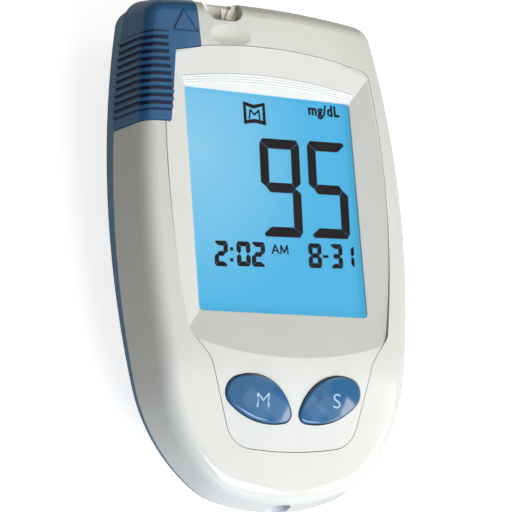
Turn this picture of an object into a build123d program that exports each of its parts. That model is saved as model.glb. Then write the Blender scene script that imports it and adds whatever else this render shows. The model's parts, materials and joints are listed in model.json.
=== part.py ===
"""Hand-held blood glucose meter: a crowned two-shell case with an inset face plate.

Frame: +X to the right of the face, +Y towards the strip port, +Z out of the face.
The origin lies on the centre line, on the flat of the back, 48 mm from the lower end.
All sizes are in millimetres and all angles in degrees.
"""

import os
from math import asin, atan, cos, degrees, radians, sin, sqrt, tan

from build123d import *

os.makedirs("parts", exist_ok=True)

# ---- Case -----------------------------------------------------------------------
case_low, case_high = -48.0, 49.2  # blunt lower end and port end, at the seam
case_half_width = 30.3
case_height = 26.0
wall = 1.8  # both shells
fit_gap = 0.15  # between parts that slide or drop in

side_radius = 188.0  # long bulging sides
side_bulge_y = 6.0  # where the case is widest
side_end_angle = 9.5  # where the long side turns into the lower side
lower_end_angle = 50.0  # where the lower side turns into the lower corner
lower_corner_radius = 14.0
lower_corner_end_angle = 72.0  # where the lower corner turns into the end
top_end_radius = 220.0
top_corner_radius = 5.4

seam_height = 14.7  # case seam, at the middle of the length
seam_tilt = 1.65  # the seam rises towards the strip port
front_draft = 14.0  # lean of the front cover's walls
front_edge_radius = 3.5
least_edge_radius = 0.4  # on the inner forms

crown_radius = 178.0  # face, across the meter
crown_long_radius = 500.0  # face, along the meter
crown_top_y = 8.0
chin_y = -19.5  # the face bends down from here to the lower end
chin_bend_radius = 35.0
chin_slope = 12.3

# The hull of the rear cover, as slices: half width, low end, high end and height.
lip_depth = 2.4  # upright band under the seam, at the middle of the length
lip_tilt = -0.5
lip_inset = 0.15
bilge_half_width, bilge_low, bilge_high, bilge_height = 26.2, -40.0, 47.4, 6.6
keel_half_width, keel_low, keel_high, keel_height = 20.0, -27.5, 44.8, 1.6
foot_half_width, foot_low, foot_high = 16.6, -20.0, 42.0

# ---- Face plate -----------------------------------------------------------------
plate_thickness = 2.0
plate_half_width = 23.65
plate_bulge_y = 12.0
plate_corner = (22.3, 36.1)
plate_top_y = 38.4
plate_ear = (21.3, -16.4)
plate_waist = (17.3, -21.4)
plate_chin = (12.9, -36.8)
plate_low_y = -38.0
plate_corner_fillet = 1.8
plate_ear_fillet = 2.2
plate_waist_fillet = 5.0
plate_chin_fillet = 5.5
plate_gap = 0.14
ledge_width = 1.2  # the front cover carries the plate on a ledge
ledge_thickness = 1.2

# ---- Display --------------------------------------------------------------------
view_half_width = 18.25
view_low = -12.6
view_high = 29.9
view_corner_radius = 0.8
view_height = 22.6  # lowest edge of the dish round the display
dish_side_slope = 0.34
dish_top_slope = 0.26
dish_low_slope = 0.289
dish_rise = 5.0
dish_thickness = 1.5
step_count = 4  # fine steps above the display
step_depth = 0.13
step_outer_middle, step_inner_middle = 33.35, 31.7
step_outer_end, step_inner_end = 31.65, 30.4
step_half_width = 19.0
step_taper = 0.5
plate_block_margin = 1.75  # the plate is thicker round the window
window_margin = 0.85
window_top = 22.1
window_thickness = 0.8
glass_gap = 0.12  # under the window
glass_thickness = 1.6
glass_half_width = 19.6
glass_low, glass_high = -14.0, 31.3
backlight_thickness = 1.5
frame_wall = 0.6
frame_floor = 0.6
glass_corner_chamfer = 0.5
connector_strip_width = 1.8
strip_clearance = 0.4
connector_strip_inset = 2.0  # shorter than the glass at both ends
frame_recess_low, frame_recess_high = 5.0, 2.0  # over the parts on the board

# ---- Buttons --------------------------------------------------------------------
leaf_tip = (0.65, -32.48)
leaf_heel = (15.65, -26.70)
leaf_upper_radius = 9.0
leaf_lower_radius = 13.17
leaf_tip_fillet = 1.57
leaf_heel_fillet = 2.7
leaf_middle = (7.6, -28.9)
button_gap = 0.22
button_proud = 1.0  # crown of the button over the plate
button_dome_radius = 32.0
button_edge_radius = 0.5
button_travel = 0.8
flange_width = 0.8
flange_thickness = 0.8
flange_gap = 0.25
stem_radius = 2.0
dome_head_radius = 2.2
dome_head_rim = 0.5
dome_head_thickness = 0.9
dome_foot_flat = 0.4
dome_hollow_radius = 2.4
dome_hollow_top_radius = 1.6
dome_height = 2.4
dome_foot_radius = 3.4
dome_foot_height = 0.5

# ---- Board ----------------------------------------------------------------------
board_inset = 3.5
board_bottom = 15.2
board_thickness = 1.6
board_top = board_bottom + board_thickness
board_post_radius = 2.2
board_posts = [(23.7, 22.0), (24.2, -8.0), (-24.2, -8.0), (-24.2, 12.0)]
board_screw_radius = 0.95
board_screw_head_radius = 1.8
board_screw_head = 1.3
board_screw_length = 5.0
screw_play = 0.08
pilot_room = 0.5  # under the end of each screw
slider_board_inset = 4.4
board_post_room = 3.2
board_low = -37.2
chip_height = 0.9
chips_below = [(18.2, 4.0, 7.0, 7.0), (18.0, -10.0, 5.0, 4.0), (-18.2, -2.0, 6.0, 9.0)]
chips_above = [(4.5, 36.2, 6.0, 5.0), (0.0, -20.0, 5.0, 4.0)]

# ---- Case screws ----------------------------------------------------------------
case_posts = [(22.0, 41.2), (-20.3, 41.6), (11.5, -40.6), (-11.5, -40.6)]
case_post_radius = 2.6
case_screw_radius = 1.1
case_screw_head_radius = 1.95
case_screw_head = 1.4
case_screw_grip = 2.2  # rear cover under the seam that the screw clamps
case_screw_bite = 4.0  # into the front cover's post
case_boss_radius = 3.0  # round the screw in the rear cover
head_play = 0.15

# ---- Strip port -----------------------------------------------------------------
strip_x = -9.5
strip_top = 20.9  # the surface that the test strip slides on
notch_width = 7.9
notch_depth = 6.2  # from the end of the case
notch_corner_radius = 2.4
notch_lip_flare = 0.6
notch_flare_length = 3.0
notch_floor = 18.8
guide_foot_length = 1.8
guide_neck = 0.7  # the tongue widens over this length, outside the wall of the cover
guide_rail_height = 1.5  # the rails keep the strip on the tongue's middle
tongue_thickness = 0.8
tongue_width = 7.3
tongue_low, tongue_high = 41.6, 47.0
channel_width = 5.4
channel_height = 1.1
connector_width = 6.5
connector_low, connector_high = 37.9, 41.6
connector_roof = 0.3
contact_count = 3
contact_pitch = 1.6
contact_width = 0.8
contact_thickness = 0.2
contact_end = 0.9  # flat part at each end
contact_proud = 0.15
scoop_x, scoop_y = -10.4, 40.6
scoop_half_width, scoop_half_length = 4.2, 2.0
scoop_half_height = 3.0  # of the ball that cuts it
scoop_depth = 0.24

# ---- Ejector --------------------------------------------------------------------
slider_thickness = 1.6
slider_proud = 0.25
slider_low = 22.2
slider_inner_low = -22.5  # its inner edge leans along the plate
slider_inner_high = (-20.4, 36.3)
slider_block_low = 37.3
slider_block_x = -15.2
ejector_travel = 4.0
rib_count = 11
rib_pitch = 1.43
rib_first = 24.75
rib_height = 0.35
rib_radius = 0.31
rib_inner_x = -21.6
slider_lift = 0.1
neck_outer_x = -26.9
arrow_apex = (-18.2, 44.0)
arrow_half_base = 2.1
arrow_low = 40.3
arrow_height = 0.2
arrow_groove_width = 0.35  # round the raised arrow
arrow_groove_depth = 0.2
neck_low, neck_high = 31.2, 34.4
neck_bottom, neck_top = 17.6, 19.8
neck_inner_x = -22.6
arm_low, arm_high = 32.2, 33.7
arm_bottom, arm_top = 17.2, 19.4
finger_width = 4.4
finger_length = 3.9
finger_thickness = 0.5
finger_bottom = strip_top + 0.3
slot_play = 0.3

# ---- Battery bay ----------------------------------------------------------------
cell_radius = 5.25
cell_length = 44.5
cell_nub_radius = 1.9
cell_nub_height = 0.8
cell_edge_radius = 0.5
link_low = 5.6
link_corner_radius = 1.2
cell_spacing = 11.0
cell_height = 7.65
bay_half_width = 11.5
bay_low, bay_high = -12.5, 36.8
bay_wall = 1.5
bay_roof = 13.1
bay_roof_thickness = 1.1
contact_sheet = 0.4
contact_plate_half = 3.6
contact_plate_low, contact_plate_high = 4.2, 11.2
contact_tail_width = 1.6
spring_wire_radius = 0.3
spring_large_radius = 3.0
spring_small_radius = 2.0
spring_turns = 3
spring_length = 4.0
door_half_width = 12.3
door_low, door_high = -13.3, 38.0
door_thickness = 1.6
door_seat_gap = 0.15
door_corner_radius = 1.2
door_gap = 0.2
door_open_angle = 70.0
tab_x = 7.2
tab_width = 3.6
tab_length = 1.8
tab_bottom, tab_top = 1.95, 2.75
tab_root = 1.2
tab_bite = 0.5  # into the door
tab_window_top = 3.7
latch_width = 8.0
latch_height = 3.4
latch_thickness = 0.9
grip_width = 12.0
grip_length = 2.6
grip_depth = 0.8

# ---- Sound ----------------------------------------------------------------------
speaker_y = -28.5
speaker_radius = 9.0
speaker_height = 3.6
speaker_bottom = 8.4
speaker_ring_wall = 1.2
speaker_ledge = 1.2
speaker_basket_height = 1.8
speaker_magnet_radius = 5.5
cone_radius, cone_height = 7.4, 0.9
cone_middle_radius, cone_middle_height = 2.5, 0.6
grille_hole_radius = 0.8
grille_pitch = 3.0

# ---- Data jack ------------------------------------------------------------------
jack_height = 14.9
jack_hole_radius = 2.4
jack_nose_radius = 2.25
jack_nose_length = 1.6
jack_bore_radius = 1.775
jack_bore_length = 11.0
jack_width = 6.2
jack_body_height = 5.2
jack_body_length = 11.5
jack_front_y = -45.0
jack_lug_half = 4.6
jack_lug_length = 2.0
jack_lug_thickness = 0.6

far = 120.0  # longer than the whole meter

# ---- Shared forms ---------------------------------------------------------------


def case_outline(half_width=case_half_width, inset=0.0):
    """Outline of the case at its seam: tangent arcs, blunt below and nearly straight above."""
    a1, a2, a3 = radians(side_end_angle), radians(lower_end_angle), radians(lower_corner_end_angle)
    side_x = half_width - side_radius
    start = (side_x + side_radius * cos(a1), side_bulge_y - side_radius * sin(a1))
    # the radii of the lower side and of the end close the outline on the centre line
    run_x = start[0] - lower_corner_radius * (cos(a2) - cos(a3))
    run_y = start[1] - lower_corner_radius * (sin(a3) - sin(a2)) - case_low
    c1, s1 = cos(a1) - cos(a2), sin(a2) - sin(a1)
    c3, s3 = cos(a3), 1 - sin(a3)
    lower_radius = (run_x * s3 - run_y * c3) / (c1 * s3 - s1 * c3)
    end_radius = (run_x - lower_radius * c1) / c3
    top_y = case_high + 2 * top_corner_radius
    top_angle = asin((top_y - side_bulge_y) / side_radius)
    side_top = (side_x + side_radius * cos(top_angle), top_y)
    lower_turn = lower_end_angle - side_end_angle
    corner_turn = lower_corner_end_angle - lower_end_angle
    with BuildSketch() as outline:
        with BuildLine():
            side = ThreePointArc(
                (-side_top[0], top_y), (-half_width, side_bulge_y), (-start[0], start[1])
            )
            lower = JernArc(side @ 1, side % 1, lower_radius, lower_turn)
            corner = JernArc(lower @ 1, lower % 1, lower_corner_radius, corner_turn)
            JernArc(corner @ 1, corner % 1, end_radius, 90 - lower_corner_end_angle)
            mirror(about=Plane.YZ)
            Line(side_top, (-side_top[0], top_y))
        make_face()
        with Locations((0, case_high - top_end_radius)):
            Circle(top_end_radius, mode=Mode.INTERSECT)
        fillet(outline.vertices().group_by(Axis.Y)[-1], top_corner_radius)
        if inset:
            offset(amount=-inset)
    return outline.sketch


def tilted_plane(height, tilt):
    """A level plane, tilted so that it rises towards the strip port."""
    return Plane(
        origin=(0, 0, height),
        x_dir=(1, 0, 0),
        z_dir=(0, -sin(radians(tilt)), cos(radians(tilt))),
    )


seam_plane = tilted_plane(seam_height, seam_tilt)


def seam_z(y):
    """Height of the case seam."""
    return seam_height + y * tan(radians(seam_tilt))


def face_profile(y, drop=0.0):
    """Radius of the crowned face about its long axis, at a place along the meter."""
    long_radius = crown_long_radius - drop
    bend_radius = chin_bend_radius - drop
    centre_z = crown_radius - crown_long_radius
    a1 = asin((chin_y - crown_top_y) / crown_long_radius)
    a2 = -radians(chin_slope)
    bend_y = chin_y - chin_bend_radius * sin(a1)
    bend_z = centre_z + (crown_long_radius - chin_bend_radius) * cos(a1)
    if y > crown_top_y + long_radius * sin(a1):
        return centre_z + sqrt(long_radius**2 - (y - crown_top_y) ** 2)
    if y > bend_y + bend_radius * sin(a2):
        return bend_z + sqrt(bend_radius**2 - (y - bend_y) ** 2)
    end_y = bend_y + bend_radius * sin(a2)
    end_z = bend_z + bend_radius * cos(a2)
    return end_z + (y - end_y) * tan(-a2)


def face_z(x, y, drop=0.0):
    """Height of the crowned face, or of the surface that lies a drop under it."""
    return case_height - crown_radius + sqrt(face_profile(y, drop) ** 2 - x**2)


def crown(drop=0.0):
    """Barrel whose upper side is the crowned face, less a drop."""
    centre_z = crown_radius - crown_long_radius
    a1 = asin((chin_y - crown_top_y) / crown_long_radius)
    a2 = -radians(chin_slope)
    bend_y = chin_y - chin_bend_radius * sin(a1)
    bend_z = centre_z + (crown_long_radius - chin_bend_radius) * cos(a1)
    axis_plane = Plane(
        origin=(0, 0, case_height - crown_radius), x_dir=(0, 1, 0), z_dir=(-1, 0, 0)
    )

    def on_arc(centre_y, centre_r, radius, angle):
        return (centre_y + radius * sin(angle), centre_r + radius * cos(angle))

    long_radius = crown_long_radius - drop
    bend_radius = chin_bend_radius - drop
    top_angle = asin((far - crown_top_y) / long_radius)
    high = on_arc(crown_top_y, centre_z, long_radius, top_angle)
    chin = on_arc(crown_top_y, centre_z, long_radius, a1)
    middle = on_arc(crown_top_y, centre_z, long_radius, (a1 + top_angle) / 2)
    bend = on_arc(bend_y, bend_z, bend_radius, (a1 + a2) / 2)
    slope_start = on_arc(bend_y, bend_z, bend_radius, a2)
    slope_end = (-far, slope_start[1] - (far + slope_start[0]) * tan(-a2))
    with BuildPart() as barrel:
        with BuildSketch(axis_plane):
            with BuildLine():
                ThreePointArc(high, middle, chin)
                ThreePointArc(chin, bend, slope_start)
                Polyline(slope_start, slope_end, (-far, 0), (high[0], 0), high)
            make_face()
        revolve(axis=Axis((0, 0, case_height - crown_radius), (0, 1, 0)))
    return barrel.part


def front_form(inset=0.0, depth=0.0):
    """Front half of the case: drafted walls under the crowned face, with a round edge."""
    with BuildPart() as form:
        with BuildSketch(seam_plane):
            add(case_outline(inset=inset))
        extrude(amount=case_height - seam_height, taper=front_draft)
        add(crown(inset), mode=Mode.INTERSECT)
        face_edges = form.edges().filter_by(
            lambda edge: edge.center().Z > seam_z(edge.center().Y) + 2 and abs(edge.tangent_at(0.5).Z) < 0.5
        )
        rim = face_edges.filter_by(
            lambda edge: abs(edge.center().X) > 1 or abs(edge.center().Y) > case_high * 2 / 3
        )
        fillet(rim, max(front_edge_radius - inset, least_edge_radius))
        if depth:
            with BuildSketch(seam_plane):
                add(case_outline(inset=inset))
            extrude(amount=-depth)
    return form.part


def hull_slice(half_width, low, high, inset):
    """The case outline, shrunk to a slice of the rear cover's hull."""
    with BuildSketch() as slice_:
        add(case_outline())
        stretch = (
            (half_width - inset) / case_half_width,
            (high - low - 2 * inset) / (case_high - case_low),
            1,
        )
        scale(by=stretch)
    return Pos(0, (low + high) / 2 - stretch[1] * (case_low + case_high) / 2) * slice_.sketch


def rear_form(inset=0.0, rise=0.0):
    """Rear half of the case: an upright band under the seam, then a hull down to a flat foot."""
    lip_plane = tilted_plane(seam_height - lip_depth, lip_tilt)
    with BuildPart() as form:
        with BuildSketch(lip_plane):
            add(case_outline(inset=lip_inset + inset))
        with BuildSketch(Plane.XY.offset(bilge_height + inset / 2)):
            add(hull_slice(bilge_half_width, bilge_low, bilge_high, inset))
        with BuildSketch(Plane.XY.offset(keel_height + inset)):
            add(hull_slice(keel_half_width, keel_low, keel_high, inset))
        with BuildSketch(Plane.XY.offset(inset)):
            add(hull_slice(foot_half_width, foot_low, foot_high, inset))
        loft()
        split(bisect_by=Plane.XY.offset(inset), keep=Keep.TOP)
        with BuildSketch(lip_plane):
            add(case_outline(inset=lip_inset + inset))
        extrude(amount=case_height / 3, dir=(0, 0, 1))
        split(bisect_by=tilted_plane(seam_height + rise, seam_tilt), keep=Keep.BOTTOM)
    return form.part


def prism(sketch, low, high):
    """Upright prism of a sketch between two heights."""
    with BuildPart() as column:
        with BuildSketch(Plane.XY.offset(low)):
            add(sketch)
        extrude(amount=high - low)
    return column.part


def block(x_range, y_range, z_range):
    """Box between two corners."""
    with BuildPart() as box:
        with Locations(((x_range[0] + x_range[1]) / 2, (y_range[0] + y_range[1]) / 2, z_range[0])):
            Box(
                x_range[1] - x_range[0],
                y_range[1] - y_range[0],
                z_range[1] - z_range[0],
                align=(Align.CENTER, Align.CENTER, Align.MIN),
            )
    return box.part


def rod(x, y, radius, low, high):
    """Upright round rod."""
    with BuildPart() as bar:
        with BuildSketch(Plane.XY.offset(low)):
            with Locations((x, y)):
                Circle(radius)
        extrude(amount=high - low)
    return bar.part


def plate_outline(grow=0.0):
    """Outline of the face plate: wide round the display, waisted down to the buttons."""
    with BuildSketch() as outline:
        with BuildLine():
            ThreePointArc(
                (-plate_corner[0], plate_corner[1]),
                (-plate_half_width, plate_bulge_y),
                (-plate_ear[0], plate_ear[1]),
            )
            Polyline(
                (-plate_ear[0], plate_ear[1]),
                (-plate_waist[0], plate_waist[1]),
                (-plate_chin[0], plate_chin[1]),
            )
            mirror(about=Plane.YZ)
            ThreePointArc(
                (-plate_chin[0], plate_chin[1]), (0, plate_low_y), plate_chin
            )
            ThreePointArc(
                plate_corner, (0, plate_top_y), (-plate_corner[0], plate_corner[1])
            )
        make_face()
        rows = outline.vertices().group_by(Axis.Y)
        fillet(rows[0], plate_chin_fillet)
        fillet(outline.vertices().filter_by(
            lambda v: abs(v.Y - plate_waist[1]) < 0.01), plate_waist_fillet)
        fillet(outline.vertices().filter_by(
            lambda v: abs(v.Y - plate_ear[1]) < 0.01), plate_ear_fillet)
        fillet(outline.vertices().filter_by(
            lambda v: abs(v.Y - plate_corner[1]) < 0.01), plate_corner_fillet)
        if grow:
            offset(amount=grow)
    return outline.sketch


def slider_outline(grow=0.0):
    """The corner of the case that the ejector slider takes, open to the side and the port end."""
    with BuildSketch() as corner:
        with BuildLine():
            Polyline(
                (-case_half_width - wall, slider_low),
                (slider_inner_low, slider_low),
                slider_inner_high,
                (slider_block_x, slider_block_low),
                (slider_block_x, case_high + wall),
                (-case_half_width - wall, case_high + wall),
                close=True,
            )
        make_face()
        if grow:
            offset(amount=grow, kind=Kind.INTERSECTION)
    return corner.sketch


def leaf(grow=0.0):
    """Outline of the right-hand button: a leaf with its tip towards the middle."""
    with BuildSketch() as shape:
        with BuildLine():
            RadiusArc(leaf_tip, leaf_heel, leaf_upper_radius)
            RadiusArc(leaf_heel, leaf_tip, leaf_lower_radius)
        make_face()
        fillet(shape.vertices().sort_by(Axis.X)[0], leaf_tip_fillet)
        fillet(shape.vertices().sort_by(Axis.X)[-1], leaf_heel_fillet)
        if grow:
            offset(amount=grow)
    return shape.sketch


def both_sides(sketch):
    """A sketch with its mirror image across the centre line."""
    with BuildSketch() as pair:
        add(sketch)
        mirror(about=Plane.YZ)
    return pair.sketch


def view_rectangle(margin=0.0):
    """The display opening, grown by a margin."""
    with BuildSketch() as opening:
        with Locations((0, (view_low + view_high) / 2)):
            RectangleRounded(
                2 * (view_half_width + margin),
                view_high - view_low + 2 * margin,
                view_corner_radius + max(margin, 0) / 2,
            )
    return opening.sketch


def strip_notch(grow=0.0):
    """Plan of the notch in the port end: a flared mouth on a rounded slot."""
    half = notch_width / 2
    end = case_high
    low = end - notch_depth
    with BuildSketch() as notch:
        with BuildLine():
            Polyline(
                (strip_x - half, low),
                (strip_x + half, low),
                (strip_x + half, end - notch_flare_length),
                (strip_x + half + notch_lip_flare, end + wall),
                (strip_x - half - notch_lip_flare, end + wall),
                (strip_x - half, end - notch_flare_length),
                close=True,
            )
        make_face()
        fillet(notch.vertices().group_by(Axis.Y)[0], notch_corner_radius)
        if grow:
            offset(amount=grow, kind=Kind.INTERSECTION)
    return notch.sketch


def keep(part, name):
    """Label a finished piece and write it to its own file."""
    part.label = name
    export_step(part, f"parts/{name}.step")


# ---- Forms that several pieces share ----------------------------------------------
outer_front = front_form()
slider_zone = prism(slider_outline(), 0, far)
slider_zone_wide = prism(slider_outline(fit_gap), 0, far)
pocket_zone = prism(slider_outline(fit_gap + wall), 0, far)
pocket_floor = front_form(slider_thickness + fit_gap, wall)
pocket_inside = front_form(slider_thickness + fit_gap + wall, wall)
inner_front = front_form(wall, wall)
plate_under = crown(plate_thickness)
ledge_under = crown(plate_thickness + ledge_thickness)
view_middle = (view_low + view_high) / 2


def dish(drop=0.0):
    """Four flat slopes down to the display opening."""
    with BuildPart() as slopes:
        with BuildSketch(Plane.XY.offset(view_height - drop)):
            with Locations((0, view_middle)):
                Rectangle(2 * view_half_width, view_high - view_low)
        out = dish_rise / dish_side_slope
        high = view_high + dish_rise / dish_top_slope
        low = view_low - dish_rise / dish_low_slope
        with BuildSketch(Plane.XY.offset(view_height - drop + dish_rise)):
            with Locations((0, (high + low) / 2)):
                Rectangle(2 * (view_half_width + out), high - low)
        loft(ruled=True)
    return slopes.part


def front_cavity():
    """Room inside the front cover; the wall steps in behind the ejector slider."""
    with BuildPart() as room:
        add(inner_front)
        add(pocket_zone, mode=Mode.SUBTRACT)
        add(pocket_inside)
    return room.part


def lengthwise_rod(x, z, radius, low, high):
    """Round rod along the meter."""
    with BuildPart() as bar:
        with BuildSketch(Plane(origin=(x, low, z), x_dir=(1, 0, 0), z_dir=(0, 1, 0))):
            Circle(radius)
        extrude(amount=high - low)
    return bar.part


cavity = front_cavity()
frame_room = block(
    (-glass_half_width - frame_wall - fit_gap, glass_half_width + frame_wall + fit_gap),
    (glass_low - frame_wall - fit_gap, glass_high + frame_wall + fit_gap),
    (board_top, window_top - window_thickness + fit_gap),
)
port_room = block(
    (strip_x - connector_width / 2 - fit_gap, strip_x + connector_width / 2 + fit_gap),
    (arm_low - slot_play, connector_high + fit_gap),
    (board_top, strip_top + channel_height + connector_roof + fit_gap),
)
jack_hole = lengthwise_rod(0, jack_height, jack_hole_radius, -far, jack_front_y + wall)

# ---- Front cover ------------------------------------------------------------------
strip_room = prism(strip_notch(), notch_floor, far)
scoop_surface = face_z(scoop_x, scoop_y)

with BuildPart() as plate_ledge:
    add(prism(plate_outline(ledge_width), 0, far))
    add(prism(plate_outline(-ledge_width), 0, far), mode=Mode.SUBTRACT)
    add(outer_front, mode=Mode.INTERSECT)
    add(ledge_under, mode=Mode.SUBTRACT)

with BuildPart() as cover_posts:
    for x, y in board_posts:
        add(rod(x, y, board_post_radius, board_top, case_height))
    for x, y in case_posts:
        add(rod(x, y, case_post_radius, seam_z(y) - wall, case_height))
    add(outer_front, mode=Mode.INTERSECT)
    add(dish(dish_thickness + plate_gap), mode=Mode.SUBTRACT)

with BuildPart() as plate_seat:
    add(prism(plate_outline(plate_gap), 0, far))
    add(plate_under, mode=Mode.SUBTRACT)

with BuildPart() as slider_pocket:
    add(slider_zone_wide)
    add(pocket_floor, mode=Mode.SUBTRACT)

# shallow dimple for the fingertip that puts the strip in
scoop_share = sqrt(1 - (1 - scoop_depth / scoop_half_height) ** 2)
with BuildPart() as scoop:
    Sphere(scoop_half_height)
    scale(by=(scoop_half_width / scoop_share / scoop_half_height,
              scoop_half_length / scoop_share / scoop_half_height, 1))

with BuildPart() as screw_pilots:
    for x, y in board_posts:
        add(rod(x, y, board_screw_radius + screw_play, board_bottom,
                board_bottom + board_screw_length + pilot_room))
    for x, y in case_posts:
        add(rod(x, y, case_screw_radius + screw_play, 0, seam_z(y) + case_screw_bite + pilot_room))

with BuildPart() as front_cover:
    add(outer_front)
    add(cavity, mode=Mode.SUBTRACT)
    add(plate_ledge.part)
    add(cover_posts.part)
    add(plate_seat.part, mode=Mode.SUBTRACT)
    add(prism(view_rectangle(plate_block_margin + plate_gap), 0, far), mode=Mode.SUBTRACT)
    add(prism(both_sides(leaf(flange_width + button_gap)), 0, far), mode=Mode.SUBTRACT)
    add(frame_room, mode=Mode.SUBTRACT)
    add(port_room, mode=Mode.SUBTRACT)
    add(slider_pocket.part, mode=Mode.SUBTRACT)
    # slot for the slider's neck
    add(
        block(
            (-case_half_width, neck_inner_x),
            (neck_low - slot_play, neck_high + ejector_travel + slot_play),
            (neck_bottom - slot_play, neck_top + slot_play),
        ),
        mode=Mode.SUBTRACT,
    )
    add(strip_room, mode=Mode.SUBTRACT)
    with Locations((scoop_x, scoop_y, scoop_surface + scoop_half_height - scoop_depth)):
        add(scoop.part, mode=Mode.SUBTRACT)
    add(jack_hole, mode=Mode.SUBTRACT)
    add(screw_pilots.part, mode=Mode.SUBTRACT)
keep(front_cover.part, "front_cover")

# ---- Face plate --------------------------------------------------------------------


def step_lens(index):
    """Plan of one of the fine steps between the display opening and the plate's top end."""
    share = index / (step_count - 1)
    middle = step_outer_middle + (step_inner_middle - step_outer_middle) * share
    end = step_outer_end + (step_inner_end - step_outer_end) * share
    half = step_half_width - step_taper * share
    with BuildSketch() as lens:
        with BuildLine():
            ThreePointArc((-half, end), (0, middle), (half, end))
            Polyline((half, end), (view_half_width, view_high),
                     (-view_half_width, view_high), (-half, end))
        make_face()
    return lens.sketch


window_bottom = window_top - window_thickness

# the plate keeps its thickness under the dish and is thicker round the window
with BuildPart() as window_surround:
    add(dish(dish_thickness))
    add(prism(view_rectangle(plate_block_margin), window_bottom, far))
    add(plate_under, mode=Mode.INTERSECT)
    add(prism(plate_outline(-ledge_width - plate_gap), window_bottom, far), mode=Mode.INTERSECT)
    add(prism(slider_outline(fit_gap + wall + plate_gap), 0, far), mode=Mode.SUBTRACT)


def fine_step(index):
    """Shallow cut into the dish, down to one of the fine steps."""
    with BuildPart() as cut:
        add(dish(step_depth * (index + 1)))
        add(prism(step_lens(index), 0, far), mode=Mode.INTERSECT)
    return cut.part


with BuildPart() as face_plate:
    add(prism(plate_outline(), 0, far))
    add(crown(), mode=Mode.INTERSECT)
    add(plate_under, mode=Mode.SUBTRACT)
    add(window_surround.part)
    add(dish(), mode=Mode.SUBTRACT)
    for index in range(step_count):
        add(fine_step(index), mode=Mode.SUBTRACT)
    add(prism(view_rectangle(), 0, far), mode=Mode.SUBTRACT)
    add(prism(view_rectangle(window_margin), 0, window_top), mode=Mode.SUBTRACT)
    add(prism(both_sides(leaf(button_gap)), 0, far), mode=Mode.SUBTRACT)
    add(slider_zone_wide, mode=Mode.SUBTRACT)
keep(face_plate.part, "face_plate")

# ---- Display -----------------------------------------------------------------------
glass_top = window_bottom - glass_gap
glass_bottom = glass_top - glass_thickness
backlight_bottom = glass_bottom - backlight_thickness

with BuildPart() as display_window:
    add(prism(view_rectangle(window_margin - plate_gap), window_bottom, window_top))
keep(display_window.part, "display_window")

with BuildPart() as lcd_glass:
    add(block((-glass_half_width, glass_half_width), (glass_low, glass_high),
              (glass_bottom, glass_top)))
    chamfer(lcd_glass.edges().filter_by(Axis.Z), glass_corner_chamfer)
keep(lcd_glass.part, "lcd_glass")

with BuildPart() as backlight_panel:
    add(block((-glass_half_width, glass_half_width),
              (glass_low + connector_strip_width + strip_clearance, glass_high),
              (backlight_bottom, glass_bottom)))
keep(backlight_panel.part, "backlight_panel")

with BuildPart() as lcd_connector:
    add(block((-glass_half_width + connector_strip_inset, glass_half_width - connector_strip_inset),
              (glass_low, glass_low + connector_strip_width), (board_top, glass_bottom)))
keep(lcd_connector.part, "lcd_connector")

with BuildPart() as lcd_frame:
    add(block((-glass_half_width - frame_wall, glass_half_width + frame_wall),
              (glass_low - frame_wall, glass_high + frame_wall), (board_top, glass_top)))
    fillet(lcd_frame.edges().filter_by(Axis.Z), frame_wall)
    add(block((-glass_half_width, glass_half_width), (glass_low, glass_high),
              (backlight_bottom, glass_top)), mode=Mode.SUBTRACT)
    # room for the connector strip, and for parts on the board
    add(block((-glass_half_width + connector_strip_inset, glass_half_width - connector_strip_inset),
              (glass_low, glass_low + connector_strip_width + strip_clearance),
              (board_top, glass_bottom)), mode=Mode.SUBTRACT)
    add(block((-glass_half_width + connector_strip_inset, glass_half_width - connector_strip_inset),
              (glass_low + frame_recess_low, glass_high - frame_recess_high),
              (board_top, backlight_bottom - frame_floor)), mode=Mode.SUBTRACT)
keep(lcd_frame.part, "lcd_frame")

# ---- Buttons -----------------------------------------------------------------------
flange_top = crown(plate_thickness + flange_gap)
flange_under = crown(plate_thickness + flange_gap + flange_thickness)
lean = asin(leaf_middle[0] / crown_radius)
leaf_normal = Vector(sin(lean), -sin(radians(chin_slope)), cos(radians(chin_slope))).normalized()
leaf_surface = Vector(leaf_middle[0], leaf_middle[1], face_z(*leaf_middle))
dome_centre = leaf_surface + leaf_normal * (button_proud - button_dome_radius)
stem_bottom = board_top + dome_height

with BuildPart() as button_flange:
    add(prism(leaf(flange_width), 0, far))
    add(flange_top, mode=Mode.INTERSECT)
    add(flange_under, mode=Mode.SUBTRACT)

with BuildPart() as set_button:
    add(prism(leaf(), 0, far))
    with Locations(dome_centre):
        Sphere(button_dome_radius, mode=Mode.INTERSECT)
    add(flange_top, mode=Mode.SUBTRACT)
    fillet(set_button.edges().group_by(Axis.Z)[-1].sort_by(Axis.Z), button_edge_radius)
    add(button_flange.part)
    add(rod(leaf_middle[0], leaf_middle[1], stem_radius, stem_bottom,
            leaf_surface.Z - plate_thickness - flange_gap))
keep(set_button.part, "set_button")

with BuildPart() as memory_button:
    add(mirror(set_button.part, about=Plane.YZ))
keep(memory_button.part, "memory_button")


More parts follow.
